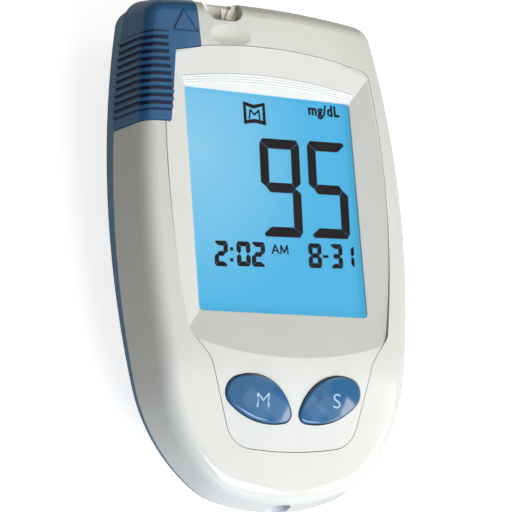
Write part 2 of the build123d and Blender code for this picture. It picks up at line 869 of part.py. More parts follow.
def switch_dome(x):
    """Rubber switch dome on the board: a foot, a thin cone and a solid head."""
    profile = [
        (0, dome_height),
        (dome_head_radius, dome_height),
        (dome_head_radius, dome_height - dome_head_rim),
        (dome_foot_radius - dome_foot_flat, dome_foot_height),
        (dome_foot_radius, dome_foot_height),
        (dome_foot_radius, 0),
        (dome_hollow_radius, 0),
        (dome_hollow_top_radius, dome_height - dome_head_thickness),
        (0, dome_height - dome_head_thickness),
    ]
    with BuildPart() as dome:
        with BuildSketch(Plane(origin=(x, leaf_middle[1], board_top), x_dir=(1, 0, 0),
                               z_dir=(0, -1, 0))):
            with BuildLine():
                Polyline(profile, close=True)
            make_face()
        revolve(axis=Axis((x, leaf_middle[1], 0), (0, 0, 1)))
    return dome.part


keep(switch_dome(leaf_middle[0]), "set_dome")
keep(switch_dome(-leaf_middle[0]), "memory_dome")

# ---- Board -------------------------------------------------------------------------
with BuildSketch() as behind_slider:
    add(slider_outline(2 * fit_gap + wall))
    add(case_outline(inset=slider_board_inset), mode=Mode.SUBTRACT)

with BuildPart() as main_board:
    with BuildSketch(Plane.XY.offset(board_bottom)):
        add(case_outline(inset=board_inset))
        add(behind_slider.sketch, mode=Mode.SUBTRACT)
        # room for the case posts and for the jack
        for x, y in case_posts[:2]:
            side = 1 if x > 0 else -1
            with Locations((x + side * (far / 2 - board_post_room), y + far / 2 - board_post_room)):
                Rectangle(far, far, mode=Mode.SUBTRACT)
        with Locations((0, board_low - far / 2)):
            Rectangle(far, far, mode=Mode.SUBTRACT)
        jack_end = jack_front_y + jack_body_length + fit_gap
        with Locations((0, jack_end - far / 2)):
            Rectangle(jack_width + 2 * fit_gap, far, mode=Mode.SUBTRACT)
        with Locations(board_posts):
            Circle(board_screw_radius + screw_play, mode=Mode.SUBTRACT)
    extrude(amount=board_thickness)
keep(main_board.part, "main_board")

with BuildPart() as board_chips:
    for x, y, width, length in chips_below:
        add(block((x - width / 2, x + width / 2), (y - length / 2, y + length / 2),
                  (board_bottom - chip_height, board_bottom)))
    for x, y, width, length in chips_above:
        add(block((x - width / 2, x + width / 2), (y - length / 2, y + length / 2),
                  (board_top, board_top + chip_height)))
keep(board_chips.part, "board_chips")

with BuildPart() as board_screws:
    for x, y in board_posts:
        add(rod(x, y, board_screw_head_radius, board_bottom - board_screw_head, board_bottom))
        add(rod(x, y, board_screw_radius, board_bottom, board_bottom + board_screw_length))
keep(board_screws.part, "board_screws")

# ---- Strip port --------------------------------------------------------------------
channel_top = strip_top + channel_height
channel_range = (strip_x - channel_width / 2, strip_x + channel_width / 2)
contact_places = [
    strip_x + (index - (contact_count - 1) / 2) * contact_pitch for index in range(contact_count)
]

with BuildPart() as strip_connector:
    add(block((strip_x - connector_width / 2, strip_x + connector_width / 2),
              (connector_low, connector_high), (board_top, channel_top + connector_roof)))
    add(block(channel_range, (connector_low, connector_high), (strip_top, channel_top)),
        mode=Mode.SUBTRACT)
    for x in contact_places:
        add(block((x - contact_width / 2, x + contact_width / 2), (connector_low, connector_high),
                  (strip_top - contact_thickness, strip_top)), mode=Mode.SUBTRACT)
keep(strip_connector.part, "strip_connector")

with BuildPart() as strip_contacts:
    for x in contact_places:
        add(block((x - contact_width / 2, x + contact_width / 2), (connector_low, connector_high),
                  (strip_top - contact_thickness, strip_top)))
        # raised middle that presses on the strip
        with BuildSketch(Plane(origin=(x - contact_width / 2, 0, 0), x_dir=(0, 1, 0),
                               z_dir=(1, 0, 0))):
            with BuildLine():
                start = (connector_low + contact_end, strip_top)
                end = (connector_high - contact_end, strip_top)
                middle = ((start[0] + end[0]) / 2, strip_top + contact_proud)
                ThreePointArc(start, middle, end)
                Line(end, start)
            make_face()
        extrude(amount=contact_width)
keep(strip_contacts.part, "strip_contacts")

tongue_half = tongue_width / 2
foot_half = connector_width / 2
mouth_low = case_high - notch_depth
with BuildPart() as strip_guide:
    add(block((strip_x - foot_half, strip_x + foot_half), (tongue_low, tongue_low + guide_foot_length),
              (board_top, strip_top - tongue_thickness)))
    with BuildSketch(Plane.XY.offset(strip_top - tongue_thickness)):
        with BuildLine():
            Polyline(
                (strip_x - foot_half, tongue_low),
                (strip_x + foot_half, tongue_low),
                (strip_x + foot_half, mouth_low + notch_corner_radius - guide_neck),
                (strip_x + tongue_half, mouth_low + notch_corner_radius),
                (strip_x + tongue_half, tongue_high),
                (strip_x - tongue_half, tongue_high),
                (strip_x - tongue_half, mouth_low + notch_corner_radius),
                (strip_x - foot_half, mouth_low + notch_corner_radius - guide_neck),
                close=True,
            )
        make_face()
    extrude(amount=tongue_thickness)
    # rails on both sides of the strip, closer together where the cover is narrow
    for side in (-1, 1):
        for outer, low, high in (
            (foot_half, mouth_low + fit_gap, mouth_low + notch_corner_radius),
            (tongue_half, mouth_low + notch_corner_radius, tongue_high),
        ):
            edges = sorted((strip_x + side * channel_width / 2, strip_x + side * outer))
            add(block(edges, (low, high), (strip_top, strip_top + guide_rail_height)))
keep(strip_guide.part, "strip_guide")

# ---- Ejector -----------------------------------------------------------------------
slider_outside = front_form(-slider_proud)
slider_inside = front_form(slider_thickness, wall)
rib_outside = front_form(-slider_proud - rib_height)
arrow_outside = front_form(-slider_proud - arrow_height)
groove_floor = front_form(-slider_proud + arrow_groove_depth)

slider_middle = front_form(slider_thickness / 2, wall)


def arrow_plan(grow=0.0):
    """Triangle that points towards the port."""
    with BuildSketch() as triangle:
        with BuildLine():
            Polyline(
                arrow_apex,
                (arrow_apex[0] - arrow_half_base, arrow_low),
                (arrow_apex[0] + arrow_half_base, arrow_low),
                close=True,
            )
        make_face()
        if grow:
            offset(amount=grow, kind=Kind.INTERSECTION)
    return triangle.sketch


with BuildPart() as slider_ribs:
    for index in range(rib_count):
        rib_y = rib_first + index * rib_pitch
        add(block((-far, rib_inner_x), (rib_y - rib_radius, rib_y + rib_radius), (0, far)))
    add(rib_outside, mode=Mode.INTERSECT)
    add(slider_zone, mode=Mode.INTERSECT)
    add(slider_middle, mode=Mode.SUBTRACT)

with BuildPart() as arrow_groove:
    add(prism(arrow_plan(arrow_groove_width), 0, far))
    add(groove_floor, mode=Mode.SUBTRACT)

with BuildPart() as arrow:
    add(prism(arrow_plan(), 0, far))
    add(arrow_outside, mode=Mode.INTERSECT)
    add(slider_middle, mode=Mode.SUBTRACT)

with BuildPart() as ejector_slider:
    add(slider_outside)
    add(slider_zone, mode=Mode.INTERSECT)
    add(slider_inside, mode=Mode.SUBTRACT)
    add(slider_ribs.part)
    add(arrow_groove.part, mode=Mode.SUBTRACT)
    add(arrow.part)
    # neck through the wall of the cover
    add(block((neck_outer_x, neck_inner_x), (neck_low, neck_high), (neck_bottom, neck_top)))
    split(bisect_by=tilted_plane(seam_height + slider_lift, seam_tilt), keep=Keep.TOP)
keep(ejector_slider.part, "ejector_slider")

finger_range = (strip_x - finger_width / 2, strip_x + finger_width / 2)
with BuildPart() as ejector_arm:
    add(block((neck_inner_x, finger_range[1]), (arm_low, arm_high), (arm_bottom, arm_top)))
    add(block(finger_range, (arm_low, arm_high), (arm_bottom, finger_bottom + finger_thickness)))
    add(block(finger_range, (arm_low, arm_high + finger_length),
              (finger_bottom, finger_bottom + finger_thickness)))
keep(ejector_arm.part, "ejector_arm")

# ---- Battery bay and rear cover ----------------------------------------------------
outer_rear = rear_form()
inner_rear = rear_form(wall, wall)


def door_plan(grow=0.0):
    """Outline of the battery door."""
    with BuildSketch() as plan:
        with Locations((0, (door_low + door_high) / 2)):
            RectangleRounded(2 * (door_half_width + grow), door_high - door_low + 2 * grow,
                             door_corner_radius)
    return plan.sketch


# bay walls, screw bosses and the ring of the speaker, cut to the cover's own form
with BuildPart() as inner_works:
    add(block((-bay_half_width - bay_wall, bay_half_width + bay_wall),
              (bay_low - bay_wall, bay_high + bay_wall), (0, bay_roof + bay_roof_thickness)))
    for x, y in case_posts:
        add(rod(x, y, case_boss_radius, 0, case_height))
    add(rod(0, speaker_y, speaker_radius + fit_gap + speaker_ring_wall, 0,
            speaker_bottom + speaker_basket_height))
    add(outer_rear, mode=Mode.INTERSECT)

# room for the cells, the door, its tabs and its latch
with BuildPart() as bay_room:
    add(block((-bay_half_width, bay_half_width), (bay_low, bay_high), (0, bay_roof)))
    add(prism(door_plan(door_gap), -wall, door_thickness + door_seat_gap))
    for side in (-1, 1):
        middle = side * tab_x
        add(block((middle - tab_width / 2 - door_gap, middle + tab_width / 2 + door_gap),
                  (bay_low - bay_wall, bay_low), (door_thickness, tab_window_top)))
        middle = side * cell_spacing / 2
        half = contact_tail_width / 2 + fit_gap
        add(block((middle - half, middle + half),
                  (bay_low, bay_low + contact_sheet + fit_gap), (bay_roof, board_bottom)))
    add(block((-latch_width / 2 - door_gap, latch_width / 2 + door_gap),
              (bay_high, bay_high + bay_wall),
              (door_thickness, door_thickness + latch_height + door_gap)))

with BuildPart() as speaker_room:
    add(rod(0, speaker_y, speaker_radius - speaker_ledge, 0, speaker_bottom))
    add(inner_rear, mode=Mode.INTERSECT)

with BuildPart() as grille:
    with BuildSketch():
        with Locations((0, speaker_y)):
            Circle(grille_hole_radius)
            with PolarLocations(grille_pitch, 6):
                Circle(grille_hole_radius)
            with PolarLocations(2 * grille_pitch, 12):
                Circle(grille_hole_radius)
    extrude(amount=speaker_bottom)

# screw holes with a sunk head
with BuildPart() as screw_holes:
    for x, y in case_posts:
        grip_z = seam_z(y) - case_screw_grip
        add(rod(x, y, case_screw_radius + screw_play, 0, case_height))
        add(rod(x, y, case_screw_head_radius + head_play, -wall, grip_z))

with BuildPart() as rear_cover:
    add(outer_rear)
    add(inner_rear, mode=Mode.SUBTRACT)
    add(inner_works.part)
    add(bay_room.part, mode=Mode.SUBTRACT)
    # finger recess beside the latch
    add(block((-grip_width / 2, grip_width / 2),
              (door_high + door_gap, door_high + door_gap + grip_length), (-wall, grip_depth)),
        mode=Mode.SUBTRACT)
    add(screw_holes.part, mode=Mode.SUBTRACT)
    add(rod(0, speaker_y, speaker_radius + fit_gap, speaker_bottom, case_height),
        mode=Mode.SUBTRACT)
    add(speaker_room.part, mode=Mode.SUBTRACT)
    add(grille.part, mode=Mode.SUBTRACT)
    add(jack_hole, mode=Mode.SUBTRACT)
keep(rear_cover.part, "rear_cover")

with BuildPart() as battery_door:
    add(prism(door_plan(), 0, door_thickness))
    for side in (-1, 1):
        middle = side * tab_x
        tab_range = (middle - tab_width / 2, middle + tab_width / 2)
        add(block(tab_range, (door_low, bay_low + tab_root), (door_thickness - tab_bite, tab_top)))
        add(block(tab_range, (door_low - tab_length, door_low + tab_root), (tab_bottom, tab_top)))
    add(block((-latch_width / 2, latch_width / 2), (door_high - latch_thickness, door_high),
              (0, door_thickness + latch_height)))
keep(battery_door.part, "battery_door")


def cell(x, negative_end, direction):
    """A size AAA cell along the meter, from its flat end to its button."""
    with BuildPart() as battery:
        with BuildSketch(Plane(origin=(x, negative_end, cell_height), x_dir=(1, 0, 0),
                               z_dir=(0, direction, 0))):
            Circle(cell_radius)
        extrude(amount=cell_length - cell_nub_height)
        fillet(battery.edges(), cell_edge_radius)
        with BuildSketch(Plane(origin=(x, negative_end, cell_height), x_dir=(1, 0, 0),
                               z_dir=(0, direction, 0))):
            Circle(cell_nub_radius)
        extrude(amount=cell_length)
    return battery.part


first_end = bay_low + contact_sheet + spring_length
second_end = bay_high - contact_sheet - spring_length
keep(cell(-cell_spacing / 2, first_end, 1), "battery_left")
keep(cell(cell_spacing / 2, second_end, -1), "battery_right")


def coil(x, foot_y, direction):
    """Conical spring that stands on a contact plate."""
    height = spring_length - 2 * spring_wire_radius
    narrowing = atan((spring_large_radius - spring_small_radius) / height)
    start = (x, foot_y + direction * spring_wire_radius, cell_height)
    with BuildPart() as spring:
        with BuildLine() as path:
            Helix(height / spring_turns, height, spring_large_radius, center=start,
                  direction=(0, direction, 0), cone_angle=-degrees(narrowing))
        with BuildSketch(Plane(origin=path.line @ 0, z_dir=path.line % 0)):
            RegularPolygon(spring_wire_radius, 6)
        sweep(path=path.line, is_frenet=True)
    return spring.part


with BuildPart() as battery_springs:
    add(coil(-cell_spacing / 2, bay_low + contact_sheet, 1))
    add(coil(cell_spacing / 2, bay_high - contact_sheet, -1))
keep(battery_springs.part, "battery_springs")

with BuildPart() as battery_contacts:
    for side in (-1, 1):
        middle = side * cell_spacing / 2
        add(block((middle - contact_plate_half, middle + contact_plate_half),
                  (bay_low, bay_low + contact_sheet), (contact_plate_low, contact_plate_high)))
        add(block((middle - contact_tail_width / 2, middle + contact_tail_width / 2),
                  (bay_low, bay_low + contact_sheet), (contact_plate_high, board_bottom)))
keep(battery_contacts.part, "battery_contacts")

with BuildPart() as battery_link:
    link_half = cell_spacing / 2 + contact_plate_half
    add(block((-link_half, link_half), (bay_high - contact_sheet, bay_high),
              (link_low, contact_plate_high)))
    fillet(battery_link.edges().filter_by(Axis.Y), link_corner_radius)
keep(battery_link.part, "battery_link")

# ---- Speaker -----------------------------------------------------------------------
with BuildPart() as speaker:
    with BuildSketch(Plane(origin=(0, speaker_y, speaker_bottom), x_dir=(1, 0, 0),
                           z_dir=(0, -1, 0))):
        with BuildLine():
            Polyline(
                (0, cone_height),
                (cone_middle_radius, cone_middle_height),
                (cone_radius, cone_height),
                (speaker_radius - speaker_ledge, 0),
                (speaker_radius, 0),
                (speaker_radius, speaker_basket_height),
                (speaker_magnet_radius, speaker_basket_height),
                (speaker_magnet_radius, speaker_height),
                (0, speaker_height),
                close=True,
            )
        make_face()
    revolve(axis=Axis((0, speaker_y, 0), (0, 0, 1)))
keep(speaker.part, "speaker")

# ---- Data jack ---------------------------------------------------------------------
jack_bottom = jack_height - jack_body_height / 2
jack_end_y = jack_front_y + jack_body_length
jack_tip_y = jack_front_y - jack_nose_length
with BuildPart() as data_jack:
    add(block((-jack_width / 2, jack_width / 2), (jack_front_y, jack_end_y),
              (jack_bottom, jack_bottom + jack_body_height)))
    add(lengthwise_rod(0, jack_height, jack_nose_radius, jack_tip_y, jack_front_y))
    add(block((-jack_lug_half, jack_lug_half), (jack_end_y - jack_lug_length, jack_end_y),
              (board_bottom - jack_lug_thickness, board_bottom)))
    add(lengthwise_rod(0, jack_height, jack_bore_radius, jack_tip_y,
                       jack_tip_y + jack_bore_length), mode=Mode.SUBTRACT)
keep(data_jack.part, "data_jack")

# ---- Case screws -------------------------------------------------------------------
with BuildPart() as case_screws:
    for x, y in case_posts:
        grip_z = seam_z(y) - case_screw_grip
        add(rod(x, y, case_screw_head_radius, grip_z - case_screw_head, grip_z))
        add(rod(x, y, case_screw_radius, grip_z, seam_z(y) + case_screw_bite))
keep(case_screws.part, "case_screws")
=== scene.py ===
import json
from math import cos, pi, radians, sin, tan

import bmesh
import bpy
from mathutils import Matrix, Vector
from mathutils.bvhtree import BVHTree


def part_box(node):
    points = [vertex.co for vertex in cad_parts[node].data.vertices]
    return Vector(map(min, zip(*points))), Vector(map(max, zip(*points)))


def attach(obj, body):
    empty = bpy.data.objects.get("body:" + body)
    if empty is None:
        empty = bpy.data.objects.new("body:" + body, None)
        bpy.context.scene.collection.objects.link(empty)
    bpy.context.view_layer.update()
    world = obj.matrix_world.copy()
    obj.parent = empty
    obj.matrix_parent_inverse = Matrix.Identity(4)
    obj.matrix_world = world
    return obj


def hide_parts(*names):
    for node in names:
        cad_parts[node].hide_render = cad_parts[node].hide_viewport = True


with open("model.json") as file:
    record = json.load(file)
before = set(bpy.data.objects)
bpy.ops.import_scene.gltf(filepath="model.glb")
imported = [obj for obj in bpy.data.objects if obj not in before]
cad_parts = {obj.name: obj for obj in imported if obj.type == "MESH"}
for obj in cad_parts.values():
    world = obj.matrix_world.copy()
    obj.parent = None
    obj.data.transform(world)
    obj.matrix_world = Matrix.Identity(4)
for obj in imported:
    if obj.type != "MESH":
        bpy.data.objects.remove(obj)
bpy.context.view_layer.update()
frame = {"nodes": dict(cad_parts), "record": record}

# Sizes and places are in millimetres and angles in degrees, unless a comment says otherwise.
# x runs to the right of the meter, y towards its strip port, and z up from its back.
MM = 0.001
OPENING_TOP, OPENING_HEIGHT = 29.9, 22.6  # upper edge of the display opening: its y and z
SQUARE = ((-1, -1), (1, -1), (1, 1), (-1, 1))  # its corners, from its middle
nodes = frame["nodes"]
scene = bpy.context.scene


# ---- Small helpers --------------------------------------------------------------------
def linear(colour):
    """Linear RGBA of an sRGB hex colour."""
    channels = [int(colour[i:i + 2], 16) / 255 for i in (1, 3, 5)]
    return tuple(c / 12.92 if c <= 0.04045 else ((c + 0.055) / 1.055) ** 2.4 for c in channels) + (1.0,)


def add_node(tree, kind, values=None, links=None, **settings):
    """Add a shader or geometry node, set its inputs and link it; a list puts several links on one input."""
    node = tree.nodes.new(kind)
    for name, value in settings.items():
        setattr(node, name, value)
    for name, value in (values or {}).items():
        node.inputs[name].default_value = value
    for name, sources in (links or {}).items():
        for source in sources if isinstance(sources, list) else [sources]:
            tree.links.new(source, node.inputs[name])
    return node


# a Mix node's sockets for colours share their names with others, so they go by number
COLOUR_A, COLOUR_B, MIXED_COLOUR = 6, 7, 2


def new_material(name):
    material = bpy.data.materials.new(name)
    material.use_nodes = True
    material.node_tree.nodes.clear()
    return material, material.node_tree


def around(items):
    """Pairs of neighbours in a closed ring."""
    return zip(items, items[1:] + items[:1])


def mesh_of(shape):
    """The mesh of a finished bmesh."""
    mesh = bpy.data.meshes.new("shape")
    shape.to_mesh(mesh)
    shape.free()
    return mesh


def evaluated_mesh(maker):
    """A plain mesh of what a text or a modifier makes; its maker is removed."""
    scene.collection.objects.link(maker)
    mesh = bpy.data.meshes.new_from_object(maker.evaluated_get(bpy.context.evaluated_depsgraph_get()))
    maker.modifiers.clear()
    bpy.data.objects.remove(maker)
    return mesh


def add_piece(name, mesh, material, body):
    """A piece from its finished mesh, with its material and the body that it rides on."""
    mesh.name = name
    mesh.materials.clear()
    mesh.materials.append(material)
    piece = bpy.data.objects.new(name, mesh)
    scene.collection.objects.link(piece)
    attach(piece, body)
    return piece


def surface_of(node):
    """The surface of a CAD node, for finding where a ray meets it."""
    mesh = nodes[node].data
    return BVHTree.FromPolygons([v.co for v in mesh.vertices], [p.vertices for p in mesh.polygons])


# ---- Camera ---------------------------------------------------------------------------
# The camera looks down on the display and leans from straight above, to the left and to the lower end.
LEAN_LEFT, LEAN_LOW, CAMERA_ROLL = 31.693, 13.334, -4.285
CAMERA_STAND = (-4.566, -1.450, 371.61)  # right, up and back in its own axes, from the middle of the face
FOCAL_PIXELS, FRAME_PIXELS = 2000, 512
SENSOR_WIDTH = 36
NEAREST_SEEN = 10


def add_camera():
    turn = (Matrix.Rotation(radians(-LEAN_LEFT), 3, "Y") @ Matrix.Rotation(radians(LEAN_LOW), 3, "X")
            @ Matrix.Rotation(radians(CAMERA_ROLL), 3, "Z"))
    place = turn @ Vector(CAMERA_STAND) + Vector((0, 0, OPENING_HEIGHT))
    data = bpy.data.cameras.new("camera")
    data.sensor_width = SENSOR_WIDTH
    data.lens = FOCAL_PIXELS / FRAME_PIXELS * SENSOR_WIDTH
    data.clip_start = NEAREST_SEEN * MM
    camera = bpy.data.objects.new("camera", data)
    camera.matrix_world = Matrix.Translation(place * MM) @ turn.to_4x4()
    scene.collection.objects.link(camera)
    scene.camera = camera


# ---- Room and table -------------------------------------------------------------------
ROOM_DIM, ROOM_LIGHT = 0.06, 0.14  # strength of the room's light from the left and from the right
DIM_SIDE, LIGHT_SIDE = -0.9, 0.3  # x of the directions at which these are reached
PAPER_GLOW = 0.80  # added where the paper is seen directly, so that it comes out near white
TABLE_REACH = 3000
TABLE_GAP = 0.05  # keeps the paper clear of the flat back


def seen_directly(tree):
    """1 for the rays that see a backdrop straight from the camera or through the window, 0 for the rest."""
    path = add_node(tree, "ShaderNodeLightPath")
    direct = add_node(tree, "ShaderNodeMath",
                      links={0: path.outputs["Is Camera Ray"], 1: path.outputs["Is Transmission Ray"]},
                      operation="MAXIMUM")
    return direct.outputs[0]


def add_room():
    """White where it is seen directly; for the object a dim warm room, dimmer on the left."""
    world = bpy.data.worlds.new("soft studio")
    scene.world = world
    world.use_nodes = True
    tree = world.node_tree
    tree.nodes.clear()
    seen = seen_directly(tree)
    direction = add_node(tree, "ShaderNodeTexCoord").outputs["Generated"]
    axes = add_node(tree, "ShaderNodeSeparateXYZ", links={0: direction})
    room = add_node(tree, "ShaderNodeMapRange",
                    {"From Min": DIM_SIDE, "From Max": LIGHT_SIDE, "To Min": ROOM_DIM, "To Max": ROOM_LIGHT},
                    {"Value": axes.outputs["X"]})
    strength = add_node(tree, "ShaderNodeMix", {"B": 1.0}, {"Factor": seen, "A": room.outputs[0]})
    tint = add_node(tree, "ShaderNodeMix", {COLOUR_A: linear("#F6F4E6"), COLOUR_B: linear("#FFFFFF")},
                    {"Factor": seen}, data_type="RGBA")
    shade = add_node(tree, "ShaderNodeBackground",
                     links={"Color": tint.outputs[MIXED_COLOUR], "Strength": strength.outputs[0]})
    add_node(tree, "ShaderNodeOutputWorld", links={"Surface": shade.outputs[0]})


def add_table():
    """A wide sheet of pale paper under the meter, which keeps the meter's shadow."""
    mesh = bpy.data.meshes.new("table")
    mesh.from_pydata([Vector((x * TABLE_REACH, y * TABLE_REACH, -TABLE_GAP)) * MM for x, y in SQUARE],
                     [], [(0, 1, 2, 3)])
    table = bpy.data.objects.new("table", mesh)
    scene.collection.objects.link(table)
    material, tree = new_material("matt white paper")
    paper = add_node(tree, "ShaderNodeBsdfDiffuse", {"Color": linear("#C4C4C2")})
    strength = add_node(tree, "ShaderNodeMapRange", {"To Max": PAPER_GLOW}, {"Value": seen_directly(tree)})
    glow = add_node(tree, "ShaderNodeEmission", {"Color": linear("#FFFFFF")},
                    {"Strength": strength.outputs[0]})
    both = add_node(tree, "ShaderNodeAddShader", links={0: paper.outputs[0], 1: glow.outputs[0]})
    add_node(tree, "ShaderNodeOutputMaterial", links={"Surface": both.outputs[0]})
    mesh.materials.append(material)


# ---- Lamps ----------------------------------------------------------------------------
# Soft boxes: name, place, the point they face, width and depth, all in metres, then watts and colour.
LAMPS = (
    # a broad cool window beyond the lower end gives most of the light
    ("window", (0.15, -0.55, 0.55), (0, 0, 0.02), (0.45, 0.35), 5.4, "#E2EEFF"),
    # a warmer box on the right, a small one beyond the port, and a wide warm ceiling
    ("right box", (0.55, -0.30, 0.36), (0, 0, 0.02), (0.35, 0.30), 1.7, "#FFEFE0"),
    ("port box", (0.40, 0.26, 0.56), (0, 0.01, 0.02), (0.34, 0.30), 0.55, "#F6FAFF"),
    ("ceiling", (-0.06, 0.10, 0.75), (0, 0, 0.02), (1.0, 1.0), 1.5, "#FFF6E2"),
    # two faint panes for the gloss of the lower end, and a strip for the gloss of the port end
    ("left pane", (0.21, -0.18, 0.52), (0, 0, 0.02), (0.11, 0.22), 0.06, "#FFFFFF"),
    ("right pane", (0.36, -0.18, 0.46), (0, 0, 0.02), (0.12, 0.22), 0.07, "#FFFFFF"),
    ("bright strip", (0.345, 0.275, 0.545), (-0.01, 0.04, 0.024), (0.10, 0.03), 0.05, "#FFFFFF"),
    # blue sky low beyond the lower end, for its wall
    ("low sky", (-0.05, -0.60, 0.15), (0, 0, 0.012), (0.5, 0.2), 0.9, "#C8DCFF"),
)


def add_lamp(name, place, target, size, power, colour):
    data = bpy.data.lights.new(name, "AREA")
    data.shape = "RECTANGLE"
    data.size, data.size_y = size
    data.energy = power
    data.color = linear(colour)[:3]
    lamp = bpy.data.objects.new(name, data)
    lamp.location = place
    lamp.rotation_euler = (Vector(target) - Vector(place)).to_track_quat("-Z", "Y").to_euler()
    scene.collection.objects.link(lamp)


add_camera()
add_room()
add_table()
for lamp in LAMPS:
    add_lamp(*lamp)
scene.view_settings.view_transform = "Standard"

# ---- Finishes -------------------------------------------------------------------------
CLOUD_SIZE, CLOUD_CONTRAST = 9, 0.03  # faint clouds in a moulded colour
PLASTIC_SPREAD, METAL_SPREAD = 0.15, 0.3  # how far the grain moves the roughness either way
COAT_ROUGHNESS = 0.04
# the slider's finger ribs: y of the first and the last one, their pitch, and x of their inner ends
FIRST_RIB, LAST_RIB, RIB_PITCH, RIBS_INNER_END = 24.75, 39.05, 1.43, -21.6
# painted shade in the slider's grooves: the cosine at which it begins, the one at which it is full, and its
# share of the dark colour
GROOVE_SHADE_BEGINS, GROOVE_SHADE_DARK, GROOVE_SHADE_SHARE = 0.45, -0.35, 0.9
# painted sheen on the display's glow: where it is palest, and how far it reaches across and up
SHEEN_CENTRE, SHEEN_REACH = (-16.12, 18.6), (26, 30)


def moulded_plastic(name, colour, roughness, coat=0.0, grain_mm=0.6, grain_height_mm=0.004):
    """Injection-moulded plastic: an even colour with faint clouds, and the fine grain of its mould."""
    # a real mould grain is 0.1 mm or less; it is drawn as coarse as it needs to show
    material, tree = new_material(name)
    place = add_node(tree, "ShaderNodeTexCoord").outputs["Object"]
    clouds = add_node(tree, "ShaderNodeTexNoise", {"Scale": 1 / (CLOUD_SIZE * MM), "Detail": 2.0},
                      {"Vector": place})
    pale = [min(1, c * (1 + CLOUD_CONTRAST)) for c in linear(colour)[:3]] + [1]
    dark = [c * (1 - CLOUD_CONTRAST) for c in linear(colour)[:3]] + [1]
    tint = add_node(tree, "ShaderNodeMix", {COLOUR_A: dark, COLOUR_B: pale},
                    {"Factor": clouds.outputs["Fac"]}, data_type="RGBA")
    grain = add_node(tree, "ShaderNodeTexNoise", {"Scale": 1 / (grain_mm * MM), "Detail": 3.0},
                     {"Vector": place})
    bump = add_node(tree, "ShaderNodeBump", {"Strength": 1.0, "Distance": grain_height_mm * MM},
                    {"Height": grain.outputs["Fac"]})
    rough = add_node(tree, "ShaderNodeMapRange",
                     {"To Min": roughness * (1 - PLASTIC_SPREAD), "To Max": roughness * (1 + PLASTIC_SPREAD)},
                     {"Value": grain.outputs["Fac"]})
    shader = add_node(tree, "ShaderNodeBsdfPrincipled",
                      {"Coat Weight": coat, "Coat Roughness": COAT_ROUGHNESS},
                      {"Base Color": tint.outputs[MIXED_COLOUR], "Roughness": rough.outputs[0],
                       "Normal": bump.outputs[0]})
    add_node(tree, "ShaderNodeOutputMaterial", links={"Surface": shader.outputs[0]})
    return material


def ribbed_plastic(name, colour, groove_shade_colour, roughness, wave_mm=3.0, wave_height_mm=0.001):
    """Glossy moulded plastic with finger ribs, and painted shade that makes the grooves between the ribs
    nearly black.
    """
    material, tree = new_material(name)
    place = add_node(tree, "ShaderNodeTexCoord").outputs["Object"]
    axes = add_node(tree, "ShaderNodeSeparateXYZ", links={0: place})
    # a cosine along the slider, whose crests lie on the ribs
    from_first = add_node(tree, "ShaderNodeMath", {1: FIRST_RIB * MM}, {0: axes.outputs["Y"]},
                          operation="SUBTRACT")
    phase = add_node(tree, "ShaderNodeMath", {1: 2 * pi / (RIB_PITCH * MM)}, {0: from_first.outputs[0]},
                     operation="MULTIPLY")
    crests = add_node(tree, "ShaderNodeMath", links={0: phase.outputs[0]}, operation="COSINE")
    # painted shade: dark in the troughs of the cosine, between the ribs
    groove_shade = add_node(tree, "ShaderNodeMapRange", {"From Min": GROOVE_SHADE_BEGINS, "From Max": GROOVE_SHADE_DARK},
                      {"Value": crests.outputs[0]}, interpolation_type="SMOOTHSTEP")
    # the painted groove shade fades out before the first rib, past the last one, and at the ribs' inner ends
    fades = (("Y", FIRST_RIB - 0.7 * RIB_PITCH, FIRST_RIB - 0.35 * RIB_PITCH),
             ("Y", LAST_RIB + 0.7 * RIB_PITCH, LAST_RIB + 0.35 * RIB_PITCH),
             ("X", RIBS_INNER_END + 0.2, RIBS_INNER_END - 0.6))
    for axis, bare, ribbed in fades:
        fade = add_node(tree, "ShaderNodeMapRange", {"From Min": bare * MM, "From Max": ribbed * MM},
                        {"Value": axes.outputs[axis]}, interpolation_type="SMOOTHSTEP")
        groove_shade = add_node(tree, "ShaderNodeMath", links={0: groove_shade.outputs[0], 1: fade.outputs[0]},
                          operation="MULTIPLY")
    share = add_node(tree, "ShaderNodeMath", {1: GROOVE_SHADE_SHARE}, {0: groove_shade.outputs[0]}, operation="MULTIPLY")
    tint = add_node(tree, "ShaderNodeMix", {COLOUR_A: linear(colour), COLOUR_B: linear(groove_shade_colour)},
                    {"Factor": share.outputs[0]}, data_type="RGBA")
    wave = add_node(tree, "ShaderNodeTexNoise", {"Scale": 1 / (wave_mm * MM), "Detail": 3.0},
                    {"Vector": place})
    bump = add_node(tree, "ShaderNodeBump", {"Strength": 1.0, "Distance": wave_height_mm * MM},
                    {"Height": wave.outputs["Fac"]})
    shader = add_node(tree, "ShaderNodeBsdfPrincipled",
                      {"Roughness": roughness, "Coat Weight": 0.15, "Coat Roughness": 2 * COAT_ROUGHNESS},
                      {"Base Color": tint.outputs[MIXED_COLOUR], "Normal": bump.outputs[0]})
    add_node(tree, "ShaderNodeOutputMaterial", links={"Surface": shader.outputs[0]})
    return material


